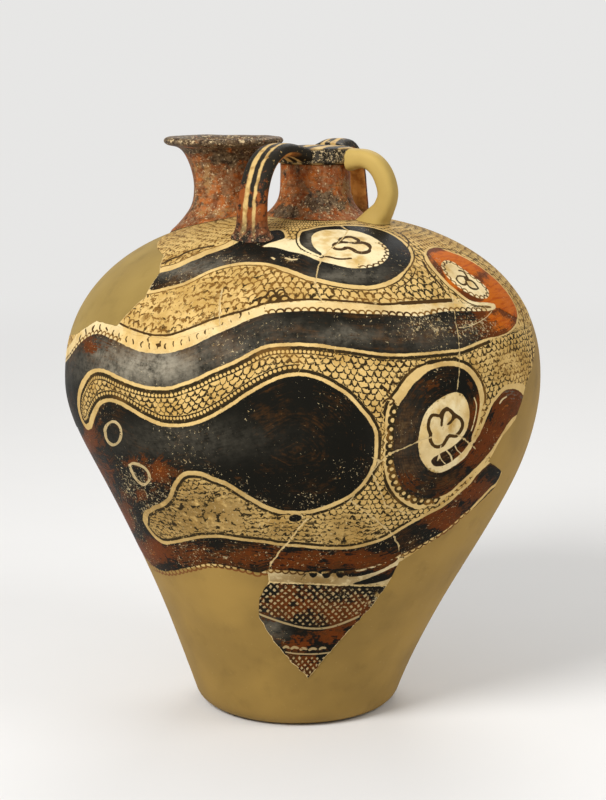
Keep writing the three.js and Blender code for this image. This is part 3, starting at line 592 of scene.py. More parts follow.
@dataclass
class PaintScheme:
    """Carries the painter's shapes onto the wall and measures every mesh point against them."""

    body: PotBody
    view: PictureView
    traces: OctopusTraces = field(default_factory=OctopusTraces)
    seam: float = 28.0
    far_left: float = -168.0
    left_end: float = -160.0
    end_rule: float = 2.4
    pale_share: float = 0.80
    belly_rule: float = 2.3
    shoulder_rule: float = 1.2
    shoulder_rows: float = 0.60
    shoulder_turn: float = 0.80

    def __post_init__(self) -> None:
        """Carries the traced lines onto the wall."""
        shapes = [self.traces.upper_arm, self.traces.octopus, self.traces.spiral_arm, self.traces.red_oval,
                  self.traces.spiral_oval,
                  *((Side(line, 0.4, Dress.BARE),) for line in self.traces.teeth)]
        self.loops: list[np.ndarray] = []
        parts: list[tuple[np.ndarray, ...]] = []
        run_start = 0.0
        for sides in shapes:
            loop, spots, along, run, pale, dress = self._shape(sides)
            self.loops.append(loop)
            parts.append((spots, along, run + run_start, pale, dress))
            run_start += 400.0
        self.spots, self.along, self.run, self.pale, self.dress = (np.concatenate(p) for p in zip(*parts))
        self.edge_tree = tree_of(self.spots)
        leans = (1.0, -0.4, 1.6, 0.5, -1.0, 0.9, 0.2) * 9
        dashes = tuple(
            Stroke(f"{x + 0.8 * lean},{y - 2.2} {x - 0.4 * lean},{y} {x + 0.3},{y + 2.0 + 0.6 * lean}", 1.1)
            for (x, y), lean in zip(trace(self.traces.dashes), leans))
        self.dark = self._strokes(self.traces.dark_strokes + dashes)
        self.light = self._strokes(self.traces.pale_strokes)
        self.plain_loops = [trace(text) for text in self.traces.plain]
        self.net_loops = [trace(text) for text in self.traces.net]
        self.crack_tree = tree_of(np.vstack([spline(trace(text), 3.0)[0] for text in self.traces.open_cracks]))
        spots, _ = self.view.meet(trace(self.traces.row_guide), self.body)
        azimuth, arc, _ = self.body.locate(spots)
        order = np.argsort(azimuth)
        self.guide = (azimuth[order], arc[order])

    def _reach(self, pixels: np.ndarray, spots: np.ndarray, normal: np.ndarray, width: np.ndarray) -> np.ndarray:
        """Turns widths on the picture into widths on the wall.

        Args:
            pixels: picture points of the line.
            spots: the same points on the wall.
            normal: picture direction across the line.
            width: widths in picture points.

        Returns:
            Widths in millimetres, held within reason.
        """
        beside, met = self.view.meet(pixels + normal * width[:, None], self.body)
        reach = np.linalg.norm(beside - spots, axis=1)
        return np.where(met, np.clip(reach, 0.2, 2.4 * POINT_SIZE * np.maximum(width, 0.3)), POINT_SIZE * width)

    def _shape(self, sides: tuple[Side, ...]) -> tuple[np.ndarray, ...]:
        """Carries one closed shape onto the wall.

        Args:
            sides: the shape's sides in order.

        Returns:
            Its picture loop, then wall points, directions, run along the edge, pale width and dress of its samples.
        """
        corners = np.vstack([trace(side.line) for side in sides])
        owner = np.concatenate([[i] * len(trace(side.line)) for i, side in enumerate(sides)])
        loop, spans = spline(corners, 0.9, True)
        pale = self.pale_share * np.array([side.pale for side in sides])[owner[spans]]
        dress = np.array([float(side.dress.value) for side in sides])[owner[spans]]
        spots, met = self.view.meet(loop, self.body)
        ahead = np.roll(loop, -1, axis=0) - np.roll(loop, 1, axis=0)
        turn = np.sign(np.sum(loop[:, 0] * np.roll(loop[:, 1], -1) - np.roll(loop[:, 0], -1) * loop[:, 1]))
        across = np.column_stack([ahead[:, 1], -ahead[:, 0]]) * turn
        across /= np.maximum(np.linalg.norm(across, axis=1), 1e-6)[:, None]
        wide = self._reach(loop, spots, across, pale)
        smooth = np.convolve(np.concatenate([wide[-6:], wide, wide[:6]]), np.ones(13) / 13, "valid")
        along = np.roll(spots, -1, axis=0) - np.roll(spots, 1, axis=0)
        along /= np.maximum(np.linalg.norm(along, axis=1), 1e-6)[:, None]
        hop = np.linalg.norm(np.roll(spots, -1, axis=0) - spots, axis=1)
        run = np.concatenate([[0], np.cumsum(np.where(hop < 8, hop, 0))[:-1]])
        return loop, spots[met], along[met], run[met], smooth[met], dress[met]

    def _strokes(self, strokes: tuple[Stroke, ...]
                 ) -> tuple[KDTree, np.ndarray, np.ndarray, np.ndarray, list[np.ndarray]]:
        """Carries brush strokes onto the wall.

        Args:
            strokes: the strokes.

        Returns:
            A tree of wall points, the points, their directions, half widths, and each stroke's own wall points.
        """
        spots, ways, halves, lines = [], [], [], []
        for stroke in strokes:
            pixels, _ = spline(trace(stroke.line), 1.1, stroke.closed)
            if stroke.closed:
                pixels = np.vstack([pixels, pixels[:1]])
            wall, met = self.view.meet(pixels, self.body)
            way = np.gradient(pixels, axis=0)
            across = np.column_stack([way[:, 1], -way[:, 0]])
            across /= np.maximum(np.linalg.norm(across, axis=1), 1e-6)[:, None]
            half = self._reach(pixels, wall, across, np.full(len(pixels), stroke.width / 2))
            along = np.gradient(wall, axis=0)
            along /= np.maximum(np.linalg.norm(along, axis=1), 1e-6)[:, None]
            spots.append(wall[met])
            ways.append(along[met])
            halves.append(half[met])
            lines.append(wall[met])
        points = np.vstack(spots)
        return tree_of(points), points, np.vstack(ways), np.concatenate(halves), lines

    def fold(self, azimuth: np.ndarray) -> np.ndarray:
        """Brings every azimuth to the front side, as the painter repeated the figure on the back."""
        round_once = np.mod(azimuth - self.far_left, 360) + self.far_left
        return np.where(round_once > self.seam, round_once - 180, round_once)

    def guides(self, turned: float) -> list[np.ndarray]:
        """Gives every stroke as rows of azimuth and arc.

        Args:
            turned: degrees the figure is turned round the pot.

        Returns:
            One array per stroke.
        """
        found = []
        for line in self.dark[4] + self.light[4]:
            if len(line) > 3:
                azimuth, arc, _ = self.body.locate(line)
                found.append(np.column_stack([azimuth + turned, arc]))
        return found

    def _stray(self, pixel: np.ndarray) -> tuple[float, float]:
        """Says how far a patch's edge strays at a picture point, so that the fired patches look blown by the kiln and
        the painted sheen has ragged edges.
        """
        spot = Vector((float(pixel[0]), float(pixel[1]), 0.0))
        broad, fine = noise.noise_vector(spot * 0.045), noise.noise_vector(spot * 0.14)
        return 9.0 * broad.x + 5.0 * fine.x, 6.0 * broad.y + 3.5 * fine.y

    def measure(self, azimuth: np.ndarray, arc: np.ndarray) -> dict[str, np.ndarray]:
        """Measures mesh points against the painting.

        Args:
            azimuth: degrees round the axis.
            arc: millimetres up the wall.

        Returns:
            Named measures, one value per point.
        """
        front = self.fold(azimuth)
        spots = self.body.point(front, arc)
        pixels = self.view.project(spots)
        index, _ = nearest(self.edge_tree, spots)
        away = spots - self.spots[index]
        forward = np.sum(away * self.along[index], axis=1)
        gap = np.linalg.norm(away - self.along[index] * forward[:, None], axis=1)
        gap = np.where(np.abs(forward) > 3.0, np.linalg.norm(away, axis=1), gap)
        drawn = np.where(inside(pixels, self.loops), -gap, gap)
        wave = 2.6 * np.sin(arc / 21.0) + 1.2 * np.sin(arc / 8.0)
        beyond = np.radians(self.left_end + wave - front) * self.body.width(arc)
        ended = beyond > drawn
        measures = {"paint": np.maximum(drawn, beyond), "run": self.run[index] + np.clip(forward, -1, 1),
                    "pale": np.where(ended, self.end_rule, self.pale[index]),
                    "dress": np.where(ended, float(Dress.LINED.value), self.dress[index])}
        for name, group in (("stroke", self.dark), ("cream", self.light)):
            tree, points, ways, halves, _ = group
            index, _ = nearest(tree, spots)
            away = spots - points[index]
            forward = np.clip(np.sum(away * ways[index], axis=1), -0.5, 0.5)
            gap = np.linalg.norm(away - ways[index] * forward[:, None], axis=1)
            measures[name] = np.minimum(gap - halves[index], FAR)
        measures["plain"] = np.zeros(len(arc))
        for loop in self.plain_loops:
            measures["plain"] = np.maximum(measures["plain"], inside(pixels, [loop]).astype(float))
        measures["net"] = inside(pixels, self.net_loops).astype(float)
        strayed = pixels + np.array([self._stray(p) for p in pixels])
        for tone, text in self.traces.patches:
            measures[tone.value] = soft_patches(strayed, trace(text))
        _, gap = nearest(self.crack_tree, pixels)
        measures["chip"] = np.clip(1.5 - gap / 9.0, 0, 1)
        rows = np.interp(front, self.guide[0], self.guide[1])
        high = arc > rows
        bend = (rows - self.guide[1].mean()) * np.clip(1 - np.abs(arc - rows) / 150, 0.15, 1)
        measures["across"] = np.radians(front) * FLAT_RADIUS * np.where(high, self.shoulder_turn, 1.0)
        measures["up"] = (arc - bend) * np.where(high, self.shoulder_rows, -1.0)
        measures["rule"] = np.where(high, self.shoulder_rule, self.belly_rule)
        return measures


@dataclass
class MeshMaker:
    """Collects points, faces and per-point measures, and makes a Blender object of them in metres."""

    points: list[np.ndarray] = field(default_factory=list)
    faces: list[tuple[int, ...]] = field(default_factory=list)
    sharp: set[tuple[int, int]] = field(default_factory=set)
    measures: dict[str, np.ndarray] = field(default_factory=dict)

    @property
    def count(self) -> int:
        """Number of points so far."""
        return sum(len(p) for p in self.points)

    def add(self, points: np.ndarray) -> int:
        """Adds points and returns the number of the first."""
        first = self.count
        self.points.append(points)
        return first

    def strip(self, low: list[int], high: list[int]) -> None:
        """Joins two equal rings of points with quads, facing right of the walk from low to high."""
        size = len(low)
        for i in range(size):
            j = (i + 1) % size
            self.faces.append((low[i], low[j], high[j], high[i]))

    def crease(self, ring: list[int]) -> None:
        """Marks the edges of a ring as sharp."""
        for i in range(len(ring)):
            a, b = ring[i], ring[(i + 1) % len(ring)]
            self.sharp.add((min(a, b), max(a, b)))

    def make(self, name: str, material: bpy.types.Material) -> bpy.types.Object:
        """Makes the object.

        Args:
            name: the piece's name.
            material: its finish.

        Returns:
            The object, linked to the scene.
        """
        mesh = bpy.data.meshes.new(name)
        mesh.from_pydata((np.vstack(self.points) * MM).tolist(), [], self.faces)
        mesh.polygons.foreach_set("use_smooth", [True] * len(mesh.polygons))
        if self.sharp:
            for edge in mesh.edges:
                pair = tuple(sorted(edge.vertices))
                if pair in self.sharp:
                    edge.use_edge_sharp = True
        for label, values in self.measures.items():
            full = np.zeros(self.count, np.float32)
            full[:len(values)] = values
            mesh.attributes.new(label, "FLOAT", "POINT").data.foreach_set("value", full)
        mesh.materials.append(material)
        mesh.validate()
        mesh.update()
        piece = bpy.data.objects.new(name, mesh)
        bpy.context.scene.collection.objects.link(piece)
        return piece


class Graph:
    """Short hand for building a material's nodes."""

    def __init__(self, name: str) -> None:
        """Starts an empty material with a principled surface."""
        self.material = bpy.data.materials.new(name)
        self.material.use_nodes = True
        self.tree = self.material.node_tree
        self.tree.nodes.clear()
        self.out = self.tree.nodes.new("ShaderNodeOutputMaterial")
        self.surface = self.tree.nodes.new("ShaderNodeBsdfPrincipled")
        self.tree.links.new(self.surface.outputs[0], self.out.inputs[0])
        self.place = self.tree.nodes.new("ShaderNodeTexCoord").outputs["Object"]

    def feed(self, socket: Socket, value: Socket | float | Colour) -> None:
        """Links a value to a socket, or sets it there."""
        if isinstance(value, bpy.types.NodeSocket):
            self.tree.links.new(value, socket)
        elif isinstance(value, tuple):
            socket.default_value = (*value, 1.0) if len(socket.default_value) == 4 else value
        else:
            socket.default_value = value

    def attr(self, name: str) -> Socket:
        """Reads a per-point measure."""
        node = self.tree.nodes.new("ShaderNodeAttribute")
        node.attribute_name = name
        return node.outputs["Fac"]

    def math(self, kind: str, *values: Socket | float) -> Socket:
        """Adds a math node and returns its value."""
        node = self.tree.nodes.new("ShaderNodeMath")
        node.operation = kind
        for socket, value in zip(node.inputs, values):
            self.feed(socket, value)
        return node.outputs[0]

    def add(self, *values: Socket | float) -> Socket:
        """Adds values up."""
        total = values[0]
        for value in values[1:]:
            total = self.math("ADD", total, value)
        return total

    def times(self, *values: Socket | float) -> Socket:
        """Multiplies values."""
        total = values[0]
        for value in values[1:]:
            total = self.math("MULTIPLY", total, value)
        return total

    def most(self, *values: Socket | float) -> Socket:
        """Takes the greatest value."""
        total = values[0]
        for value in values[1:]:
            total = self.math("MAXIMUM", total, value)
        return total

    def minus(self, value: Socket | float, other: Socket | float) -> Socket:
        """Takes the other value from the first."""
        return self.math("SUBTRACT", value, other)

    def less(self, value: Socket) -> Socket:
        """Takes a value from one."""
        return self.minus(1.0, value)

    def rise(self, value: Socket, low: float, high: float) -> Socket:
        """Gives a smooth rise from nought to one between low and high, which may be the other way about."""
        node = self.tree.nodes.new("ShaderNodeMapRange")
        node.interpolation_type = "SMOOTHSTEP"
        node.clamp = True
        self.feed(node.inputs["Value"], value)
        flip = low > high
        node.inputs["From Min"].default_value, node.inputs["From Max"].default_value = min(low, high), max(low, high)
        node.inputs["To Min"].default_value, node.inputs["To Max"].default_value = float(flip), float(not flip)
        return node.outputs[0]

    def is_dress(self, value: Socket, dress: Dress) -> Socket:
        """Says whether a point's dress is the given one."""
        return self.math("COMPARE", value, float(dress.value), 0.45)

    def mix(self, share: Socket | float, low: Socket | Colour, high: Socket | Colour) -> Socket:
        """Mixes two colours."""
        node = self.tree.nodes.new("ShaderNodeMix")
        node.data_type = "RGBA"
        self.feed(node.inputs["Factor"], share)
        self.feed(node.inputs[6], low)
        self.feed(node.inputs[7], high)
        return node.outputs[2]

    def noise(self, size: float, detail: float = 3.0, shift: float = 0.0, vector: Socket | None = None,
              rough: float = 0.55) -> Socket:
        """Adds noise.

        Args:
            size: size of its grain in millimetres.
            detail: number of finer layers.
            shift: moves it, so that two noises differ.
            vector: coordinates, or the object's own.
            rough: strength of the finer layers.

        Returns:
            Its value, about a half.
        """
        node = self.tree.nodes.new("ShaderNodeTexNoise")
        node.noise_dimensions = "4D"
        node.inputs["Scale"].default_value = 1.0 / (size * MM) if vector is None else 1.0 / size
        node.inputs["Detail"].default_value = detail
        node.inputs["Roughness"].default_value = rough
        node.inputs["W"].default_value = shift
        self.feed(node.inputs["Vector"], vector if vector is not None else self.place)
        return node.outputs["Fac"]

    def swing(self, size: float, detail: float, shift: float) -> Socket:
        """Adds noise that swings about nought."""
        return self.minus(self.noise(size, detail, shift), 0.5)

    def vector(self, x: Socket | float, y: Socket | float, z: Socket | float = 0.0) -> Socket:
        """Joins three values."""
        node = self.tree.nodes.new("ShaderNodeCombineXYZ")
        for socket, value in zip(node.inputs, (x, y, z)):
            self.feed(socket, value)
        return node.outputs[0]

    def drawn_out(self, wide: float, tall: float) -> Socket:
        """Gives coordinates in which a grain of one is so many millimetres wide and tall."""
        node = self.tree.nodes.new("ShaderNodeMapping")
        node.inputs["Scale"].default_value = (1 / (wide * MM), 1 / (wide * MM), 1 / (tall * MM))
        self.feed(node.inputs["Vector"], self.place)
        return node.outputs[0]

    def bump(self, height: Socket, depth: float, strength: float = 1.0, under: Socket | None = None) -> Socket:
        """Turns a height into a normal.

        Args:
            height: the height, about nought to one.
            depth: its depth in millimetres.
            strength: how much it counts.
            under: normal it is laid over.

        Returns:
            The normal.
        """
        node = self.tree.nodes.new("ShaderNodeBump")
        node.inputs["Strength"].default_value = strength
        node.inputs["Distance"].default_value = depth * MM
        self.feed(node.inputs["Height"], height)
        if under is not None:
            self.feed(node.inputs["Normal"], under)
        return node.outputs[0]

    def finish(self, colour: Socket, rough: Socket, normal: Socket, shine: float) -> bpy.types.Material:
        """Feeds the surface.

        Args:
            colour: base colour.
            rough: roughness.
            normal: surface normal.
            shine: specular level.

        Returns:
            The material.
        """
        self.feed(self.surface.inputs["Base Color"], colour)
        self.feed(self.surface.inputs["Roughness"], rough)
        self.feed(self.surface.inputs["Normal"], normal)
        self.surface.inputs["Specular IOR Level"].default_value = shine
        return self.material


@dataclass(frozen=True)
class PaintedClay:
    """Cream clay with the octopus painted in lustrous dark slip; the lustre is mostly a painted grey sheen, a painted
    highlight.
    """

    name: str = "dark_painted_clay"
    white: Colour = (0.88, 0.755, 0.460)
    cream: Colour = (0.66, 0.445, 0.160)
    buff: Colour = (0.47, 0.285, 0.078)
    tan: Colour = (0.31, 0.170, 0.042)
    dull: Colour = (0.205, 0.122, 0.036)
    dusty: Colour = (0.34, 0.245, 0.115)
    ink: Colour = (0.026, 0.018, 0.008)
    ink_pale: Colour = (0.190, 0.092, 0.020)
    black: Colour = (0.0085, 0.0080, 0.0060)
    brown: Colour = (0.050, 0.022, 0.007)
    olive: Colour = (0.110, 0.072, 0.026)
    red: Colour = (0.125, 0.030, 0.0050)
    rust: Colour = (0.27, 0.074, 0.011)
    orange: Colour = (0.52, 0.122, 0.006)
    ember: Colour = (0.38, 0.066, 0.004)
    # grey painted highlight: colour of the painted sheen on the dark slip
    painted_sheen: Colour = (0.330, 0.290, 0.215)
    chipped: Colour = (0.62, 0.50, 0.28)
    bead_pitch: float = 2.9
    bead_row: float = 2.7
    scale_wide: float = 4.6
    scale_tall: float = 3.6
    net_wide: float = 6.6
    net_tall: float = 6.4
    shine: float = 0.02

    def make(self, redness: float) -> bpy.types.Material:
        """Makes the finish.

        Args:
            redness: how much redder than usual the slip fired.

        Returns:
            The material.
        """
        g = Graph(self.name if redness == 0 else "red_painted_clay_sherd")
        wobble = g.swing(3.0, 3.0, 1.0)
        edge = g.add(g.attr("paint"), g.times(wobble, 1.3))
        worn, dress = g.attr("worn"), g.attr("dress")
        up, across = g.attr("up"), g.attr("across")
        dark = g.rise(edge, 0.22, -0.22)
        marks, loops, rings = self.borders(g, edge, dress)
        fitted = g.less(g.math("COMPARE", dress, 0.0, 0.45))
        margin = g.add(g.attr("pale"), g.times(fitted, g.attr("rule")),
                       g.times(g.is_dress(dress, Dress.BEADED), self.bead_row + 0.7),
                       g.times(g.is_dress(dress, Dress.SCALLOPED), 3.6))
        open_field = g.times(g.rise(g.minus(edge, margin), -0.2, 0.2), g.less(g.attr("plain")))
        marks = g.most(marks, g.times(self.scales(g, across, up, worn), open_field))
        fade = g.rise(g.add(g.noise(2.6, 5.0, 4.0, rough=0.68), g.times(worn, 0.08)), 0.69, 0.60)
        thinned = g.add(g.times(g.attr("brown"), 0.55), g.times(g.rise(up, -1.0, 1.0), 0.22))
        pale_ink = g.rise(g.add(g.times(g.noise(26.0, 3.0, 6.0), 0.8), thinned), 0.50, 0.90)
        ink = g.mix(g.times(pale_ink, g.rise(g.noise(5.0, 4.0, 6.5), 0.68, 0.48)), self.ink, self.ink_pale)
        outline = g.times(g.rise(g.minus(edge, g.attr("pale")), 0.2, -0.2), g.less(g.attr("dull")), 0.1)
        colour = g.mix(g.times(marks, fade), g.mix(outline, self.clay(g, worn), self.white), ink)
        loop_ink = g.mix(g.rise(g.noise(20.0, 3.0, 5.0), 0.4, 0.6), self.ink_pale, self.brown)
        colour = g.mix(g.times(loops, fade), colour, loop_ink)
        colour = g.mix(g.times(rings, fade), colour,
                       g.mix(g.rise(g.noise(9.0, 4.0, 5.2), 0.46, 0.66), self.ink, self.ink_pale))
        stroke = g.rise(g.add(g.attr("stroke"), g.times(wobble, 0.9)), 0.16, -0.16)
        colour = g.mix(g.times(stroke, g.rise(g.noise(6.0, 4.0, 3.0), 0.26, 0.38)), colour,
                       g.mix(g.noise(15.0, 2.0, 8.0), self.ink, (0.095, 0.045, 0.012)))
        slip, loss = self.slip(g, worn, redness, across, up)
        loss = g.times(loss, dark)
        colour = g.mix(dark, colour, slip)
        net = g.times(g.attr("net"), self.lozenges(g, across, up))
        pale = g.most(g.rise(g.add(g.attr("cream"), g.times(wobble, 0.6)), 0.16, -0.16), net)
        colour = g.mix(g.times(pale, g.rise(g.noise(2.4, 4.0, 12.5), 0.30, 0.42), 0.95), colour,
                       g.mix(g.attr("dull"), g.mix(g.noise(4.0, 4.0, 12.0), self.white, self.buff), self.dusty))
        open_edge = g.attr("chip")
        broken = g.add(g.attr("rim"), g.times(g.noise(2.2, 4.0, 9.0), 2.6), g.times(open_edge, -1.75), 0.75)
        chip = g.rise(broken, 1.05, 0.55)
        colour = g.mix(g.times(chip, 0.9), colour, g.mix(g.noise(8.0, 2.0, 10.0), self.cream, self.chipped))
        rough = g.add(g.times(dark, -0.10), g.times(g.noise(10.0, 5.0, 13.0), 0.26), g.times(chip, 0.2), 0.42)
        pits = g.bump(g.noise(1.2, 5.0, 14.0, rough=0.65), 0.20, 0.7)
        normal = g.bump(g.add(g.times(dark, 0.4), g.times(loss, -0.7), g.noise(26.0, 3.0, 15.0)), 0.24, 0.6, pits)
        return g.finish(colour, rough, normal, self.shine)

    def borders(self, g: Graph, edge: Socket, dress: Socket) -> tuple[Socket, Socket, Socket]:
        """Draws what runs along a painted edge: the dark rule past the pale line, beads, scallops and rings.

        Args:
            g: the material's graph.
            edge: way off the painted edge.
            dress: the edge's dress.

        Returns:
            The mask of rules and beads, the mask of scallops, and the mask of rings.
        """
        run, past, rule = g.attr("run"), g.minus(edge, g.attr("pale")), g.attr("rule")
        lined, beaded = g.is_dress(dress, Dress.LINED), g.is_dress(dress, Dress.BEADED)
        ringed, scalloped = g.is_dress(dress, Dress.RINGED), g.is_dress(dress, Dress.SCALLOPED)
        line = g.times(g.rise(past, -0.15, 0.2), g.rise(g.minus(past, rule), 0.2, -0.2),
                       g.most(lined, beaded, ringed))
        beads = self.beads(g, run, g.minus(past, rule), beaded)
        scallops = self.arcs(g, run, g.minus(edge, 0.2), 5.4, 2.4, 0.62, scalloped)
        rings = self.arcs(g, run, g.minus(edge, 2.2), 5.7, 2.4, 1.05,
                          g.times(ringed, g.rise(past, 0.0, -0.4)))
        return g.most(line, beads), scallops, rings

    def beads(self, g: Graph, run: Socket, row: Socket, where: Socket) -> Socket:
        """Draws the row of pale beads on a dark ground, with a thin dark line beyond it."""
        x = g.times(g.minus(g.math("FRACT", g.math("DIVIDE", run, self.bead_pitch)), 0.5), self.bead_pitch)
        y = g.minus(row, self.bead_row / 2)
        spread = g.math("SQRT", g.add(g.times(x, x), g.times(y, y)))
        ground = g.times(g.rise(row, -0.3, 0.0), g.rise(row, self.bead_row + 0.7, self.bead_row + 0.4))
        return g.times(ground, g.rise(spread, 0.90, 1.25), where)

    def arcs(self, g: Graph, run: Socket, off: Socket, pitch: float, size: float, half: float,
             where: Socket) -> Socket:
        """Draws a row of small loops along an edge.

        Args:
            g: the material's graph.
            run: way along the edge.
            off: way off the line the loops stand on.
            pitch: spacing.
            size: radius.
            half: half the brush's width.
            where: mask.

        Returns:
            The loops' mask.
        """
        shake = g.times(g.swing(7.0, 2.0, 2.5), 2.2)
        x = g.times(g.minus(g.math("FRACT", g.math("DIVIDE", g.add(run, shake), pitch)), 0.5), pitch)
        spread = g.math("SQRT", g.add(g.times(x, x), g.times(off, off)))
        gap = g.math("ABSOLUTE", g.minus(spread, size))
        width = g.times(g.swing(4.0, 3.0, 2.6), 0.9)
        return g.times(g.rise(g.add(gap, width), half + 0.2, half - 0.2), where)

    def scales(self, g: Graph, across: Socket, up: Socket, worn: Socket) -> Socket:
        """Draws rows of fish scales, of which only the tips are left where the surface is worn."""
        shake = g.swing(8.0, 4.0, 2.0)
        turn = g.swing(8.0, 4.0, 2.7)
        sway = g.add(g.times(worn, 1.6), 1.6)
        row = g.add(g.math("DIVIDE", up, self.scale_tall), g.times(shake, sway))
        number = g.math("FLOOR", row)
        y = g.minus(row, number)
        along = g.add(g.math("DIVIDE", across, self.scale_wide), g.times(number, 0.5), g.times(turn, sway))
        x = g.times(g.minus(g.math("FRACT", along), 0.5), 2.0)
        gap = g.math("ABSOLUTE", g.minus(g.math("SQRT", g.add(g.times(x, x), g.times(y, y))), 1.0))
        width = g.add(g.times(g.noise(6.0, 3.0, 2.2), 0.55), -0.07)
        drawn = g.rise(g.minus(gap, width), 0.06, -0.06)
        tip = g.rise(g.add(y, g.times(worn, -0.6)), -0.12, 0.10)
        kept = g.rise(g.add(g.noise(3.2, 5.0, 5.0, rough=0.66), g.times(worn, 0.10)), 0.66, 0.57)
        place = g.vector(g.add(g.math("DIVIDE", across, 3.7), shake), g.add(g.math("DIVIDE", up, 3.2), turn))
        crowd = g.times(g.swing(9.0, 3.0, 5.8), 0.30)
        dashes = g.rise(g.add(g.noise(1.0, 2.5, 5.5, place, 0.5), crowd), 0.56, 0.60)
        return g.most(g.times(drawn, tip, kept, g.rise(worn, 1.0, 0.70)), g.times(dashes, g.rise(worn, 0.35, 0.65)))

    def lozenges(self, g: Graph, across: Socket, up: Socket) -> Socket:
        """Draws the pale lozenges of the net on the triangular sherd."""
        shake = g.times(g.swing(5.0, 3.0, 16.0), 0.75)
        turn = g.times(g.swing(6.0, 3.0, 16.5), 0.60)
        x, y = g.add(g.math("DIVIDE", across, self.net_wide), turn), g.add(g.math("DIVIDE", up, self.net_tall), shake)
        p = g.math("ABSOLUTE", g.minus(g.math("FRACT", g.add(x, y)), 0.5))
        q = g.math("ABSOLUTE", g.minus(g.math("FRACT", g.minus(x, y)), 0.5))
        size = g.add(g.most(p, q), g.times(g.swing(2.0, 3.0, 18.0), 0.28))
        return g.times(g.rise(size, 0.27, 0.20), g.rise(g.noise(4.0, 4.0, 17.0), 0.32, 0.44))

    def clay(self, g: Graph, worn: Socket) -> Socket:
        """Colours the bare clay: cream, whiter where it was left plain, tanned and dulled in places."""
        clay = g.mix(g.rise(g.noise(20.0, 5.0, 20.0), 0.40, 0.68), self.cream, self.buff)
        fresh = g.times(g.attr("plain"), g.rise(g.noise(14.0, 5.0, 18.5), 0.70, 0.45), g.less(g.attr("brown")))
        clay = g.mix(g.times(fresh, 0.85), clay, self.white)
        tan = g.times(g.attr("brown"), g.rise(g.noise(8.0, 5.0, 19.0), 0.38, 0.70))
        clay = g.mix(g.times(tan, 0.28), clay, self.tan)
        clay = g.mix(g.times(g.attr("dull"), g.rise(g.noise(6.0, 5.0, 19.5), 0.22, 0.50), 0.95), clay, self.dull)
        stain = g.times(g.rise(g.add(g.noise(2.8, 5.0, 21.0, rough=0.68), g.times(worn, 0.06)), 0.58, 0.70), 0.5)
        clay = g.mix(stain, clay, self.tan)
        return g.mix(g.times(g.rise(g.noise(1.6, 3.0, 22.0), 0.58, 0.74), 0.4), clay, self.white)

    def slip(self, g: Graph, worn: Socket, redness: float, across: Socket, up: Socket) -> tuple[Socket, Socket]:
        """Colours the fired slip from black through brown to red, with a grey painted highlight laid over it, brush
        streaks and losses.

        Args:
            g: the material's graph.
            worn: wear of the surface.
            redness: how much redder than usual it fired.
            across: way round the pot.
            up: way up the pot.

        Returns:
            The slip's colour and where it has flaked.
        """
        path = g.vector(g.times(across, 0.035), g.times(up, 0.05), g.times(g.attr("paint"), 0.85))
        brush = g.noise(1.0, 4.0, 29.0, path, 0.6)
        sweep = g.noise(1.0, 4.0, 30.0, g.vector(g.times(across, 0.07), g.times(up, 0.75)), 0.6)
        tone = g.add(g.times(g.noise(24.0, 5.0, 23.0), 0.35), g.times(g.noise(3.6, 5.0, 24.0, rough=0.7), 0.25),
                     g.times(brush, 0.25), g.times(sweep, 0.15), g.times(g.attr("brown"), 0.13))
        slip = g.mix(g.rise(tone, 0.52, 0.66), self.black, self.brown)
        slip = g.mix(g.times(g.rise(tone, 0.60, 0.74), 0.8), slip, self.olive)
        # painted sheen: mottled grey painted highlight laid where the sheen patches lie
        painted_sheen_mottle = g.add(g.times(g.noise(8.0, 5.0, 25.0, rough=0.65), 0.45),
                      g.times(g.noise(2.6, 5.0, 25.5, rough=0.7), 0.35), g.times(sweep, 0.2))
        slip = g.mix(g.times(g.attr("painted_sheen"), g.rise(painted_sheen_mottle, 0.33, 0.62)), slip, self.painted_sheen)
        heat = g.add(g.times(g.noise(6.0, 6.0, 26.0, rough=0.7), 0.45), g.times(brush, 0.35), g.times(sweep, 0.2))
        fired = g.add(g.attr("red"), redness)
        swing = g.minus(heat, 0.5)
        flame = g.rise(g.add(fired, g.times(swing, 4.2)), 0.30, 0.52)
        slip = g.mix(flame, slip, g.mix(g.rise(heat, 0.46, 0.60), self.red, self.brown))
        slip = g.mix(g.times(g.rise(g.add(fired, g.times(swing, 4.5)), 0.92, 1.16), 0.9), slip, self.rust)
        blaze = g.rise(g.add(fired, g.times(swing, 2.6)), 1.06, 1.30)
        slip = g.mix(blaze, slip, g.mix(g.rise(sweep, 0.44, 0.66), self.orange, self.ember))
        cluster = g.times(g.rise(g.noise(34.0, 3.0, 38.0), 0.42, 0.66), 0.085)
        fleck = g.rise(g.add(g.noise(1.5, 3.0, 7.0, rough=0.7), cluster, g.times(worn, 0.10)), 0.690, 0.740)
        scuff = g.rise(g.add(g.noise(3.6, 6.0, 39.0, rough=0.74), g.times(worn, 0.17)), 0.69, 0.75)
        loss = g.most(fleck, scuff)
        slip = g.mix(g.times(loss, 0.85), slip,
                     g.mix(g.rise(g.noise(3.0, 2.0, 40.0), 0.42, 0.72), self.chipped, self.tan))
        return g.mix(g.times(g.rise(worn, 0.85, 1.0), 0.6), slip, self.buff), loss


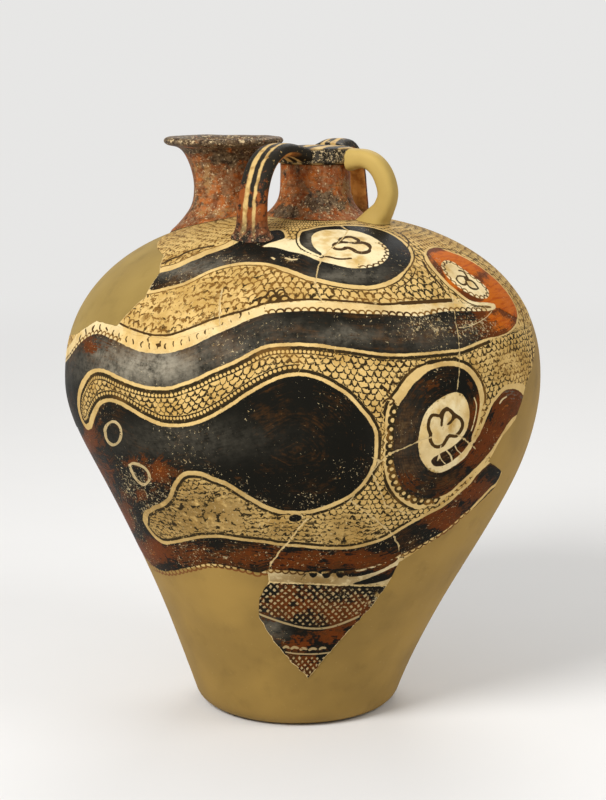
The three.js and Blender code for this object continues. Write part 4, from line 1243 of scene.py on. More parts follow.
@dataclass(frozen=True)
class Plaster:
    """Tinted mender's plaster, smoothed by hand."""

    name: str
    light: Colour
    deep: Colour
    loops: bool = False

    def make(self) -> bpy.types.Material:
        """Makes the finish, with the painter's loops run out over it where asked."""
        g = Graph(self.name)
        broad = g.rise(g.noise(75.0, 3.0, 31.0), 0.36, 0.66)
        colour = g.mix(broad, self.light, self.deep)
        cloud = g.times(g.rise(g.noise(17.0, 5.0, 32.0), 0.50, 0.78), 0.45)
        colour = g.mix(cloud, colour, tuple(c * 0.70 for c in self.deep))
        dust = g.times(g.rise(g.noise(2.0, 4.0, 33.0), 0.62, 0.80), 0.28)
        colour = g.mix(dust, colour, (0.52, 0.39, 0.16))
        if self.loops:
            where = g.is_dress(g.attr("dress"), Dress.SCALLOPED)
            off = g.minus(g.attr("paint"), 0.6)
            arcs = PaintedClay().arcs(g, g.attr("run"), off, 5.4, 2.7, 0.72, g.times(where, g.attr("near")))
            drawn = g.times(arcs, g.rise(g.noise(11.0, 3.0, 34.0), 0.28, 0.40), 0.95)
            colour = g.mix(drawn, colour, (0.15, 0.045, 0.009))
        rough = g.add(g.times(g.noise(20.0, 4.0, 35.0), 0.16), 0.50)
        grain = g.bump(g.noise(1.1, 4.0, 36.0), 0.10, 0.5)
        normal = g.bump(g.noise(24.0, 3.0, 37.0), 0.35, 0.5, grain)
        return g.finish(colour, rough, normal, 0.08)


@dataclass(frozen=True)
class RedSlip:
    """Rust-red slip on the necks, burnt dark in patches and paler buff in others."""

    name: str
    red: Colour = (0.178, 0.050, 0.013)
    umber: Colour = (0.062, 0.026, 0.009)
    dark: Colour = (0.022, 0.017, 0.011)
    ash: Colour = (0.075, 0.066, 0.050)
    buff: Colour = (0.33, 0.180, 0.060)
    orange: Colour = (0.41, 0.108, 0.016)
    speck: Colour = (0.66, 0.50, 0.28)
    chalk: Colour = (0.36, 0.243, 0.128)
    burnt: float = 0.0
    rough: float = 0.42
    shine: float = 0.06

    def make(self) -> bpy.types.Material:
        """Makes the finish."""
        g = Graph(self.name)
        colour = g.mix(g.rise(g.noise(9.0, 6.0, 41.0, rough=0.68), 0.46, 0.60), self.red, self.orange)
        turned = g.rise(g.noise(1.0, 4.0, 41.5, g.drawn_out(34.0, 2.6), 0.62), 0.50, 0.66)
        mottle = g.rise(g.noise(5.0, 6.0, 48.0, rough=0.7), 0.50, 0.64)
        colour = g.mix(g.times(g.most(turned, mottle), 0.72), colour, self.umber)
        # paler buff mottling, stronger at the given patches along the necks' edges
        buff_patch = g.rise(g.add(g.noise(5.0, 6.0, 42.0, rough=0.7), g.times(g.attr("buff_patch"), 0.24)), 0.60, 0.70)
        colour = g.mix(g.times(buff_patch, 0.8), colour, self.buff)
        scorch = g.add(g.noise(6.0, 6.0, 43.0, rough=0.7), g.times(g.attr("burn"), 0.26), self.burnt)
        burn = g.rise(scorch, 0.58, 0.70)
        colour = g.mix(g.times(burn, 0.92), colour,
                       g.mix(g.rise(g.noise(3.0, 5.0, 49.0, rough=0.7), 0.48, 0.66), self.dark, self.ash))
        film = g.times(g.rise(g.noise(3.4, 6.0, 51.8, rough=0.74), 0.40, 0.68), 0.55)
        colour = g.mix(film, colour, self.chalk)
        crowd = g.times(g.rise(g.noise(16.0, 3.0, 51.5), 0.40, 0.64), 0.05)
        fleck = g.most(g.rise(g.add(g.noise(1.7, 3.0, 44.0, rough=0.7), crowd), 0.612, 0.662),
                       g.rise(g.noise(3.8, 6.0, 50.0, rough=0.76), 0.640, 0.70))
        colour = g.mix(g.times(fleck, 0.8), colour, self.speck)
        chip = g.rise(g.add(g.times(g.attr("rim"), 0.035), g.noise(2.8, 5.0, 45.0, rough=0.68)), 0.47, 0.42)
        colour = g.mix(g.times(chip, 0.9), colour, self.speck)
        rough = g.add(g.times(g.noise(6.0, 5.0, 46.0), 0.26), self.rough)
        normal = g.bump(g.add(g.noise(1.5, 6.0, 47.0, rough=0.65), g.times(g.most(fleck, chip), -0.5),
                              g.times(turned, 0.3)), 0.32, 0.8)
        return g.finish(colour, rough, normal, self.shine)


@dataclass(frozen=True)
class StripedClay:
    """Dark and rust stripes run along the straps and over the disc on cream clay."""

    name: str
    cream: Colour = (0.60, 0.410, 0.155)
    tan: Colour = (0.34, 0.190, 0.058)
    dark: Colour = (0.018, 0.015, 0.010)
    rust: Colour = (0.235, 0.062, 0.012)
    ash: Colour = (0.085, 0.076, 0.058)
    inner: Colour = (0.60, 0.250, 0.055)
    inner_deep: Colour = (0.36, 0.120, 0.024)
    speck: Colour = (0.66, 0.50, 0.27)
    flaked: float = 0.0
    bands: tuple[tuple[float, float], ...] = ((-1.3, -0.42), (-0.08, 0.27), (0.47, 1.3))
    shine: float = 0.06

    def make(self, wear: float) -> bpy.types.Material:
        """Makes the finish.

        Args:
            wear: how far the stripes have rubbed away.

        Returns:
            The material.
        """
        g = Graph(self.name)
        side = g.add(g.attr("side"), g.times(g.swing(5.0, 4.0, 51.0), 0.24))
        bands: Socket | float = 0.0
        for low, high in self.bands:
            bands = g.most(bands, g.times(g.rise(side, low - 0.05, low + 0.05),
                                          g.rise(side, high + 0.05, high - 0.05)))
        drop, foot = g.attr("drop"), g.attr("foot")
        fired = g.add(g.noise(6.0, 6.0, 52.0, rough=0.68), g.times(g.rise(drop, 0.35, 0.85), 0.22))
        slip = g.mix(g.rise(fired, 0.62, 0.74), self.dark, self.rust)
        clay = g.mix(g.rise(g.noise(6.0, 5.0, 53.0), 0.44, 0.68), self.cream, self.tan)
        kept = g.rise(g.add(g.noise(2.6, 6.0, 54.0, rough=0.7), wear), 0.68, 0.60)
        colour = g.mix(g.times(bands, kept), clay, slip)
        inner = g.mix(g.rise(g.noise(6.0, 5.0, 55.0), 0.42, 0.62), self.inner, self.inner_deep)
        inner = g.mix(g.rise(g.noise(7.0, 4.0, 61.0), 0.60, 0.68), inner, self.speck)
        colour = g.mix(g.times(g.attr("under"), 0.9), colour, inner)
        flaky = g.mix(g.rise(g.noise(4.0, 6.0, 57.0, rough=0.7), 0.46, 0.60), self.dark,
                      g.mix(g.noise(5.0, 4.0, 57.5), self.ash, self.rust))
        colour = g.mix(g.times(foot, g.rise(g.noise(5.0, 5.0, 56.0, rough=0.66), 0.30, 0.46)), colour, flaky)
        crowd = g.add(g.times(foot, 0.095), self.flaked)
        fleck = g.most(g.rise(g.add(g.noise(1.6, 3.0, 58.0, rough=0.7), crowd), 0.69, 0.73),
                       g.rise(g.add(g.noise(3.2, 6.0, 62.0, rough=0.76), crowd), 0.69, 0.735))
        colour = g.mix(g.times(fleck, 0.8), colour, self.speck)
        rough = g.add(g.times(g.noise(6.0, 5.0, 59.0), 0.26), 0.42)
        height = g.add(g.noise(1.4, 6.0, 60.0, rough=0.65), g.times(bands, 0.4), g.times(fleck, -0.5))
        normal = g.bump(height, 0.30, 0.8)
        return g.finish(colour, rough, normal, self.shine)


@dataclass
class WallPiece:
    """A sherd or a fill of the wall, cut to the outline of its node."""

    node: str
    slot: Slot
    body: PotBody
    scheme: PaintScheme
    spacing: float
    level: float = 0.0
    polar: bool = False
    painted: bool = True
    all_dark: bool = False
    mend: float = 0.11

    def build(self, solid: bpy.types.Object, material: bpy.types.Material) -> bpy.types.Object:
        """Builds and dresses the piece.

        Args:
            solid: the node's solid.
            material: its finish.

        Returns:
            The new object.
        """
        self.centre = 0.0
        outline = self._outline(solid)
        flat = self._flat(outline[0])
        turn = float(np.sum(flat[:, 0] * np.roll(flat[:, 1], -1) - np.roll(flat[:, 0], -1) * flat[:, 1]))
        loops = [self._rounded(loop, math.copysign(self.mend, turn)) for loop in outline]
        flats = [self._flat(loop) for loop in loops]
        points, edges = self._plan(flats)
        corners, faces = self._fill(points, edges, flats)
        wall = self._wall(corners)
        rim_tree = tree_of(np.vstack([self.body.point(l[:, 0], l[:, 1]) for l in loops]))
        spots = self.body.point(wall[:, 0], wall[:, 1])
        _, rim = nearest(rim_tree, spots)
        maker = MeshMaker()
        measures = self._measures(wall, rim)
        outer = self.body.point(wall[:, 0], wall[:, 1], self.level + self._relief(spots, rim, measures["chip"]))
        maker.add(outer)
        maker.faces = [tuple(f) if not self.polar else tuple(reversed(f)) for f in faces]
        self._close(maker, corners, flats)
        maker.measures = measures
        piece = maker.make(self.node + "_skin", material)
        LOG.info("%s: %d points", self.node, maker.count)
        return piece

    def _measures(self, wall: np.ndarray, rim: np.ndarray) -> dict[str, np.ndarray]:
        """Gives the piece's per-point measures.

        Args:
            wall: azimuth and arc of each point.
            rim: distance to the piece's own edge.

        Returns:
            Named measures.
        """
        measures = self.scheme.measure(wall[:, 0], wall[:, 1])
        measures["rim"] = np.minimum(rim, FAR)
        if self.all_dark:
            measures["paint"] = np.full(len(rim), -5.0)
        else:
            measures["net"] = np.zeros(len(rim))
        measures["near"] = np.clip(1.6 - rim / 5.0, 0, 1) if not self.painted else np.zeros(len(rim))
        return measures

    def _outline(self, solid: bpy.types.Object) -> list[np.ndarray]:
        """Reads the node's outline on the outer wall.

        Args:
            solid: the node's solid.

        Returns:
            Closed loops of azimuth and arc, the longest first.
        """
        points = np.array([v.co[:] for v in solid.data.vertices]) / MM
        keys = {}
        same = np.array([keys.setdefault(tuple(np.round(p, 2)), len(keys)) for p in points])
        merged = np.array(list(keys))
        azimuth, arc, out = self.body.locate(merged)
        solid.data.calc_loop_triangles()
        used: dict[tuple[int, int], int] = {}
        turn = np.radians(azimuth)
        nr = np.interp(arc, self.body.arc, self.body.normal[:, 0])
        normals = np.column_stack([nr * np.cos(turn), nr * np.sin(turn),
                                   np.interp(arc, self.body.arc, self.body.normal[:, 1])])
        for face in solid.data.loop_triangles:
            a, b, c = (int(same[i]) for i in face.vertices)
            facing = np.cross(merged[b] - merged[a], merged[c] - merged[a])
            size = float(np.linalg.norm(facing))
            turned_away = size > 0.5 and float(np.dot(facing, normals[a])) < 0.5 * size
            if size < 1e-9 or turned_away or min(out[[a, b, c]]) < -2.6:
                continue
            for pair in ((a, b), (b, c), (c, a)):
                used[pair] = used.get(pair, 0) + 1
        ahead = {a: b for a, b in used if (b, a) not in used}
        loops = []
        while ahead:
            start = next(iter(ahead))
            ring, spot = [], start
            while spot in ahead:
                ring.append(spot)
                spot = ahead.pop(spot)
            if len(ring) > 5:
                loop = np.column_stack([np.degrees(np.unwrap(np.radians(azimuth[ring]))), arc[ring]])
                loops.append(loop)
        if self.polar:
            loops.sort(key=lambda l: -float(np.ptp(l[:, 1]) + np.ptp(l[:, 0])))
        else:
            loops.sort(key=lambda l: -float(np.ptp(l[:, 0]) * np.ptp(l[:, 1])))
        self.centre = float(loops[0][:, 0].mean())
        for loop in loops[1:]:
            loop[:, 0] -= 360 * round((float(loop[:, 0].mean()) - self.centre) / 360)
        return loops

    def _rounded(self, loop: np.ndarray, grow: float) -> np.ndarray:
        """Steps an outline finely, closes the mend up and roughens it as a break does, both sides alike.

        Args:
            loop: closed loop of azimuth and arc.
            grow: how far the edge moves out into the mend, signed by the way the outline runs.

        Returns:
            The finer loop.
        """
        path = self._flat(loop)
        points = []
        step = min(self.spacing, 3.0)
        for i in range(len(path)):
            a, b = path[i], path[(i + 1) % len(path)]
            pieces = max(1, int(np.linalg.norm(b - a) / step))
            points += [a + (b - a) * k / pieces for k in range(pieces)]
        fine = np.array(points)
        ahead = np.roll(fine, -1, axis=0) - np.roll(fine, 1, axis=0)
        ahead /= np.maximum(np.linalg.norm(ahead, axis=1), 1e-6)[:, None]
        points = fine + grow * np.column_stack([ahead[:, 1], -ahead[:, 0]])
        wall = self._wall(np.array(points))
        for row, spot in zip(wall, self.body.point(wall[:, 0], wall[:, 1])):
            shake = noise.noise_vector(Vector(spot) * 0.14) * 0.55 + noise.noise_vector(Vector(spot) * 0.45) * 0.22
            row[0] += math.degrees(shake.x / max(20.0, float(self.body.width(row[1]))))
            row[1] += shake.y
        return wall

    def _flat(self, wall: np.ndarray) -> np.ndarray:
        """Lays azimuth and arc out flat."""
        if self.polar:
            reach, turn = self.body.foot_radius + wall[:, 1], np.radians(wall[:, 0])
            return np.column_stack([reach * np.cos(turn), reach * np.sin(turn)])
        return np.column_stack([np.radians(wall[:, 0] - self.centre) * FLAT_RADIUS, wall[:, 1]])

    def _wall(self, flat: np.ndarray) -> np.ndarray:
        """Takes the flat plan back to azimuth and arc."""
        if self.polar:
            return np.column_stack([np.degrees(np.arctan2(flat[:, 1], flat[:, 0])),
                                    np.hypot(flat[:, 0], flat[:, 1]) - self.body.foot_radius])
        return np.column_stack([np.degrees(flat[:, 0] / FLAT_RADIUS) + self.centre, flat[:, 1]])

    def _grid(self, flats: list[np.ndarray], spacing: float) -> np.ndarray:
        """Lays points evenly over the outline.

        Args:
            flats: the flat outline.
            spacing: wanted spacing.

        Returns:
            Flat points inside the outline.
        """
        rng = np.random.default_rng(len(self.node) * 31 + 7)
        arcs = self._wall(np.vstack(flats))[:, 1]
        low = -self.body.foot_radius + 3 if self.polar else arcs.min()
        rows = []
        spins = self._wall(np.vstack(flats))[:, 0]
        first, last = (-180.0, 180.0) if self.polar else (spins.min(), spins.max())
        for i, arc in enumerate(np.arange(low, arcs.max(), spacing * 0.866)):
            gap = math.degrees(spacing / max(6.0, float(self.body.width(arc))))
            spin = np.arange(first + (i % 2) * gap / 2, last - (gap / 2 if self.polar else 0), gap)
            rows.append(np.column_stack([spin, np.full(len(spin), arc)]))
        wall = np.vstack(rows)
        wall[:, 1] += rng.uniform(-0.12, 0.12, len(wall)) * spacing
        flat = self._flat(wall)
        return flat[inside(flat, flats)]

    def _plan(self, flats: list[np.ndarray]) -> tuple[np.ndarray, list[tuple[int, int]]]:
        """Plans the outer face: outline, brush strokes and even points between.

        Args:
            flats: the outline, laid flat.

        Returns:
            Flat points and the edges that must be kept.
        """
        points: list[np.ndarray] = []
        edges: list[tuple[int, int]] = []
        count = 0
        for flat in flats:
            points.append(flat)
            edges += [(count + i, count + (i + 1) % len(flat)) for i in range(len(flat))]
            count += len(flat)
        fixed = [np.vstack(flats)]
        for turned in (-360.0, -180.0, 0.0, 180.0, 360.0):
            for line in (self.scheme.guides(turned) if self.painted else []):
                flat = self._flat(line)
                keep = inside(flat, flats)
                if keep.any():
                    _, gap = nearest(tree_of(np.vstack(flats)), flat)
                    keep &= gap > 0.8
                runs = np.split(np.arange(len(flat)), np.nonzero(np.diff(keep.astype(int)))[0] + 1)
                for run in runs:
                    if keep[run[0]] and len(run) > 2:
                        chosen = flat[run[::2]]
                        points.append(chosen)
                        edges += [(count + i, count + i + 1) for i in range(len(chosen) - 1)]
                        count += len(chosen)
                        fixed.append(chosen)
        grid = self._grid(flats, self.spacing)
        _, gap = nearest(tree_of(np.vstack(fixed)), grid)
        points.append(grid[gap > 0.55 * min(self.spacing, 3.0)])
        if not self.painted:
            points.append(self._loop_room(flats))
        return np.vstack(points), edges

    def _loop_room(self, flats: list[np.ndarray]) -> np.ndarray:
        """Adds closer points where the painter's loops run out over a fill."""
        rows = []
        pick = self.scheme.dress == float(Dress.SCALLOPED.value)
        azimuth, arc, _ = self.body.locate(self.scheme.spots[pick])
        for drop in (-6.5, -4.6, -2.8, -1.0):
            for turned in (0.0, 180.0):
                rows.append(np.column_stack([azimuth[::2] + turned, arc[::2] + drop]))
        flat = self._flat(np.vstack(rows))
        return flat[inside(flat, flats)]

    def _fill(self, points: np.ndarray, edges: list[tuple[int, int]],
              flats: list[np.ndarray]) -> tuple[np.ndarray, list[list[int]]]:
        """Joins flat points into triangles inside the outline.

        Args:
            points: flat points.
            edges: edges that must be kept.
            flats: the outline.

        Returns:
            The points used and the triangles between them.
        """
        made = delaunay_2d_cdt([Vector((float(x), float(y))) for x, y in points], edges, [], 0, 1e-4)
        corners = np.array([v[:] for v in made[0]])
        faces = np.array(made[2])
        middle = corners[faces].mean(1)
        faces = faces[inside(middle, flats)]
        used = np.unique(faces)
        number = np.full(len(corners), -1)
        number[used] = np.arange(len(used))
        return corners[used], number[faces].tolist()

    def _relief(self, spots: np.ndarray, rim: np.ndarray, chip: np.ndarray) -> np.ndarray:
        """Gives the hand-made unevenness of the face, with its edges worn down, most where they are chipped."""
        swell = np.array([noise.noise(Vector(p) * 0.018 + Vector((0, 0, len(self.node)))) for p in spots])
        return 0.35 * swell - (0.02 + 0.36 * chip) * np.clip(1 - rim / 1.3, 0, 1) ** 1.5

    def _close(self, maker: MeshMaker, corners: np.ndarray, flats: list[np.ndarray]) -> None:
        """Adds the broken edges and the inner face.

        Args:
            maker: mesh with the outer face.
            corners: flat outer points.
            flats: the outline.
        """
        seen: dict[tuple[int, int], bool] = {}
        for face in maker.faces:
            for i in range(3):
                seen[(face[i], face[(i + 1) % 3])] = True
        border = [(a, b) for a, b in seen if (b, a) not in seen]
        rim = sorted({a for pair in border for a in pair})
        place = {a: i for i, a in enumerate(rim)}
        grid = self._grid(flats, 15.0)
        _, gap = nearest(tree_of(corners[rim]), grid)
        flat = np.vstack([corners[rim], grid[gap > 6.0]])
        links = [(place[a], place[b]) for a, b in border]
        made = delaunay_2d_cdt([Vector((float(x), float(y))) for x, y in flat], links, [], 0, 1e-5)
        inner = np.array([v[:] for v in made[0]])
        number = {}
        for i, sources in enumerate(made[3]):
            for source in sources:
                number[source] = i
        faces = np.array(made[2])
        faces = faces[inside(inner[faces].mean(1), flats)]
        spot = self._wall(inner)
        thick = np.interp(spot[:, 1], [0.0, 24.0], [self.body.floor, self.body.wall])
        first = maker.add(self.body.point(spot[:, 0], spot[:, 1], -thick))
        for a, b, c in faces.tolist():
            maker.faces.append((first + a, first + b, first + c) if self.polar else (first + a, first + c, first + b))
        for a, b in border:
            low, high = first + number[place[a]], first + number[place[b]]
            maker.faces.append((b, a, low, high))
            maker.sharp |= {(min(a, b), max(a, b)), (min(low, high), max(low, high))}


@dataclass
class Neck:
    """A thrown tube standing on the shoulder, open or closed above."""

    body: PotBody
    offset: float
    outer: np.ndarray
    inner: np.ndarray
    lip_height: float
    columns: int = 120
    rows: int = 64

    def radius(self, z: np.ndarray) -> np.ndarray:
        """Gives the outer radius at each height."""
        order = np.argsort(self.outer[:, 1])
        return np.interp(z, self.outer[order, 1], self.outer[order, 0])

    def _columns(self, line: np.ndarray, rows: int) -> np.ndarray:
        """Turns a profile and ends every column where it meets the shoulder.

        Args:
            line: radius and height from the top down.
            rows: points kept per column.

        Returns:
            Points by row and column, top first.
        """
        path, _ = spline(line, 0.8)
        turn = np.arange(self.columns) / self.columns * 2 * math.pi
        x = self.offset + path[:, 0][:, None] * np.cos(turn)
        y = path[:, 0][:, None] * np.sin(turn)
        z = np.repeat(path[:, 1][:, None], self.columns, 1)
        out = self.body.locate(np.column_stack([x.ravel(), y.ravel(), z.ravel()]))[2].reshape(x.shape) - SEAT_GAP
        made = np.zeros((rows, self.columns, 3))
        hop = np.concatenate([[0], np.cumsum(np.linalg.norm(np.diff(path, axis=0), axis=1))])
        for k in range(self.columns):
            low = np.nonzero(out[:, k] < 0)[0]
            end = len(hop) - 1.0
            if len(low) and low[0] > 0:
                i = low[0]
                end = i - 1 + out[i - 1, k] / max(1e-6, out[i - 1, k] - out[i, k])
            stop = float(np.interp(end, np.arange(len(hop)), hop))
            want = np.linspace(0, stop, rows)
            for axis, values in enumerate((x[:, k], y[:, k], z[:, k])):
                made[:, k, axis] = np.interp(want, hop, values)
        return made

    def _fillet(self, made: np.ndarray, reach: float, rise: float) -> np.ndarray:
        """Spreads the luted foot out over the shoulder.

        Args:
            made: points by row and column, foot last.
            reach: how far the foot spreads.
            rise: how far up the spreading starts.

        Returns:
            The points, spread.
        """
        over = made[:, :, 2] - self.body.top(made[-1, :, 0], made[-1, :, 1])[None, :]
        push = reach * np.clip(1 - over / rise, 0, 1) ** 2.2
        away = made[:, :, :2] - np.array([self.offset, 0.0])
        away /= np.maximum(np.linalg.norm(away, axis=2), 1e-6)[:, :, None]
        made[:, :, :2] += away * push[:, :, None]
        ground = self.body.top(made[:, :, 0], made[:, :, 1]) + SEAT_GAP
        made[:, :, 2] = np.maximum(made[:, :, 2], ground)
        made[-1, :, 2] = ground[-1]
        return made

    def mesh(self) -> MeshMaker:
        """Builds the tube.

        Returns:
            The mesh, its outer points first.
        """
        outside, within = self._columns(self.outer, self.rows), self._columns(self.inner, self.rows // 2)
        outside = self._fillet(outside, 3.0, 12.0)
        maker = MeshMaker()
        count = self.columns
        out_first = maker.add(outside.reshape(-1, 3))
        in_first = maker.add(within.reshape(-1, 3))
        ring = lambda first, row: [first + row * count + k for k in range(count)]
        for row in range(self.rows - 1):
            maker.strip(ring(out_first, row + 1), ring(out_first, row))
        for row in range(self.rows // 2 - 1):
            maker.strip(ring(in_first, row), ring(in_first, row + 1))
        maker.strip(ring(out_first, 0), ring(in_first, 0))
        previous = ring(out_first, self.rows - 1)
        maker.crease(previous)
        for share in (0.33, 0.67):
            between = outside[-1] * (1 - share) + within[-1] * share
            between[:, 2] = np.minimum(between[:, 2], self.body.top(between[:, 0], between[:, 1]) + SEAT_GAP)
            first = maker.add(between)
            maker.strip(ring(first, 0), previous)
            previous = ring(first, 0)
        maker.strip(ring(in_first, self.rows // 2 - 1), previous)
        return maker


@dataclass
class Necks:
    """The pouring spout and the false neck that carries the disc and handles."""

    body: PotBody
    view: PictureView
    spout_offset: float = -65.7
    spout_waist: float = 22.3
    spout_waist_rise: float = 17.0
    spout_rim: float = 44.5
    spout_foot: float = 36.0
    spout_wall: float = 6.5
    spout_rise: float = 54.4
    spout_root: float = 20.0
    lip: float = 5.6
    lip_round: float = 3.0
    false_offset: float = 10.0
    false_radius: float = 25.5
    false_foot: float = 39.0
    false_bore: float = 16.0
    false_top: float = 405.2

    def spout(self) -> Neck:
        """Shapes the spout."""
        waist = self.body.crown_height + self.spout_waist_rise
        root = self.body.crown_height - self.spout_root
        top = self.body.crown_height + self.spout_rise
        lip_foot = top - self.lip
        flare = self.spout_foot - self.spout_waist
        foot = lambda down, out: (self.spout_waist + flare * out, waist + (root - waist) * down)
        bell = lambda up, out: (self.spout_waist + out, waist + (lip_foot - waist) * up)
        lip = [(self.spout_rim - self.lip_round * back, lip_foot + self.lip * up)
               for back, up in ((1, 0), (0.2, 0.29), (0, 0.5), (0.27, 0.84), (1, 1))]
        side = [foot(1, 1.36), foot(0.7, 0.78), foot(0.36, 0.16), foot(0, 0), bell(0.42, 1.96), bell(0.78, 7),
                bell(0.94, 12.21), *lip]
        bore = self.spout_waist - self.spout_wall
        throat = self.spout_rim + (self.spout_waist - self.spout_rim) * 0.54
        well = [(self.spout_rim - self.lip_round - 1.2, top - 0.25), (throat, top - 2.0), bell(0.8, 1.96),
                (bore, waist), (bore, root)]
        return Neck(self.body, self.spout_offset, np.array(side[::-1], float), np.array(well, float), top)

    def false_neck(self) -> Neck:
        """Shapes the false neck."""
        side = lambda out, z: (self.false_radius + (self.false_foot - self.false_radius) * out, z)
        crown = self.body.crown_height
        line = [side(1.3, crown - 12), side(0.85, crown - 4), side(0.4, crown + 4), side(0.07, crown + 14),
                side(0, crown + 28), side(0, self.false_top)]
        bore = [(self.false_bore, self.false_top), (self.false_bore, crown - 12)]
        return Neck(self.body, self.false_offset, np.array(line[::-1], float), np.array(bore, float), self.false_top)

    def _dress(self, maker: MeshMaker, points: np.ndarray, lip: float, burns: str, buff_spots: str) -> None:
        """Adds the fired patches.

        Args:
            maker: the neck's mesh.
            points: its outer points.
            lip: height of its lip.
            burns: dark patches as picture x, y, reach across and down, and strength.
            buff_spots: paler buff patches, the same.
        """
        pixels = self.view.project(points)
        burn = np.maximum(soft_patches(pixels, trace(burns)), 0.95 * np.clip((points[:, 2] - lip + 9.0) / 4.0, 0, 1))
        maker.measures = {"burn": burn, "buff_patch": soft_patches(pixels, trace(buff_spots)),
                          "rim": np.abs(lip - 2.0 - points[:, 2])}

    def build(self) -> tuple[bpy.types.Object, bpy.types.Object]:
        """Builds and dresses the spout and the false neck."""
        spout = self.spout()
        maker = spout.mesh()
        shape = maker.points[0]
        shake = np.array([noise.noise(Vector(p) * 0.06) for p in shape])
        shape[:, 2] += 0.45 * shake * (shape[:, 2] > 372)
        self._dress(maker, np.vstack(maker.points), spout.lip_height,
                    "228,158,22,9,1.0 200,150,40,5,0.9 245,150,20,6,1.0 190,205,10,12,0.5",
                    "208,180,6,18,0.9 215,212,24,6,0.7 196,168,6,10,0.6")
        first = maker.make("spout_skin", RedSlip("spout_red_slip", burnt=0.02).make())
        neck = self.false_neck()
        maker = neck.mesh()
        self._dress(maker, np.vstack(maker.points), 500.0,
                    "322,203,26,13,1.1 285,212,20,8,1.0 290,172,14,6,0.5", "346,188,7,10,1.1 345,205,8,8,0.9")
        second = maker.make("false_neck_skin", RedSlip("false_neck_red_slip", red=(0.24, 0.058, 0.013)).make())
        LOG.info("spout and false neck built")
        return first, second


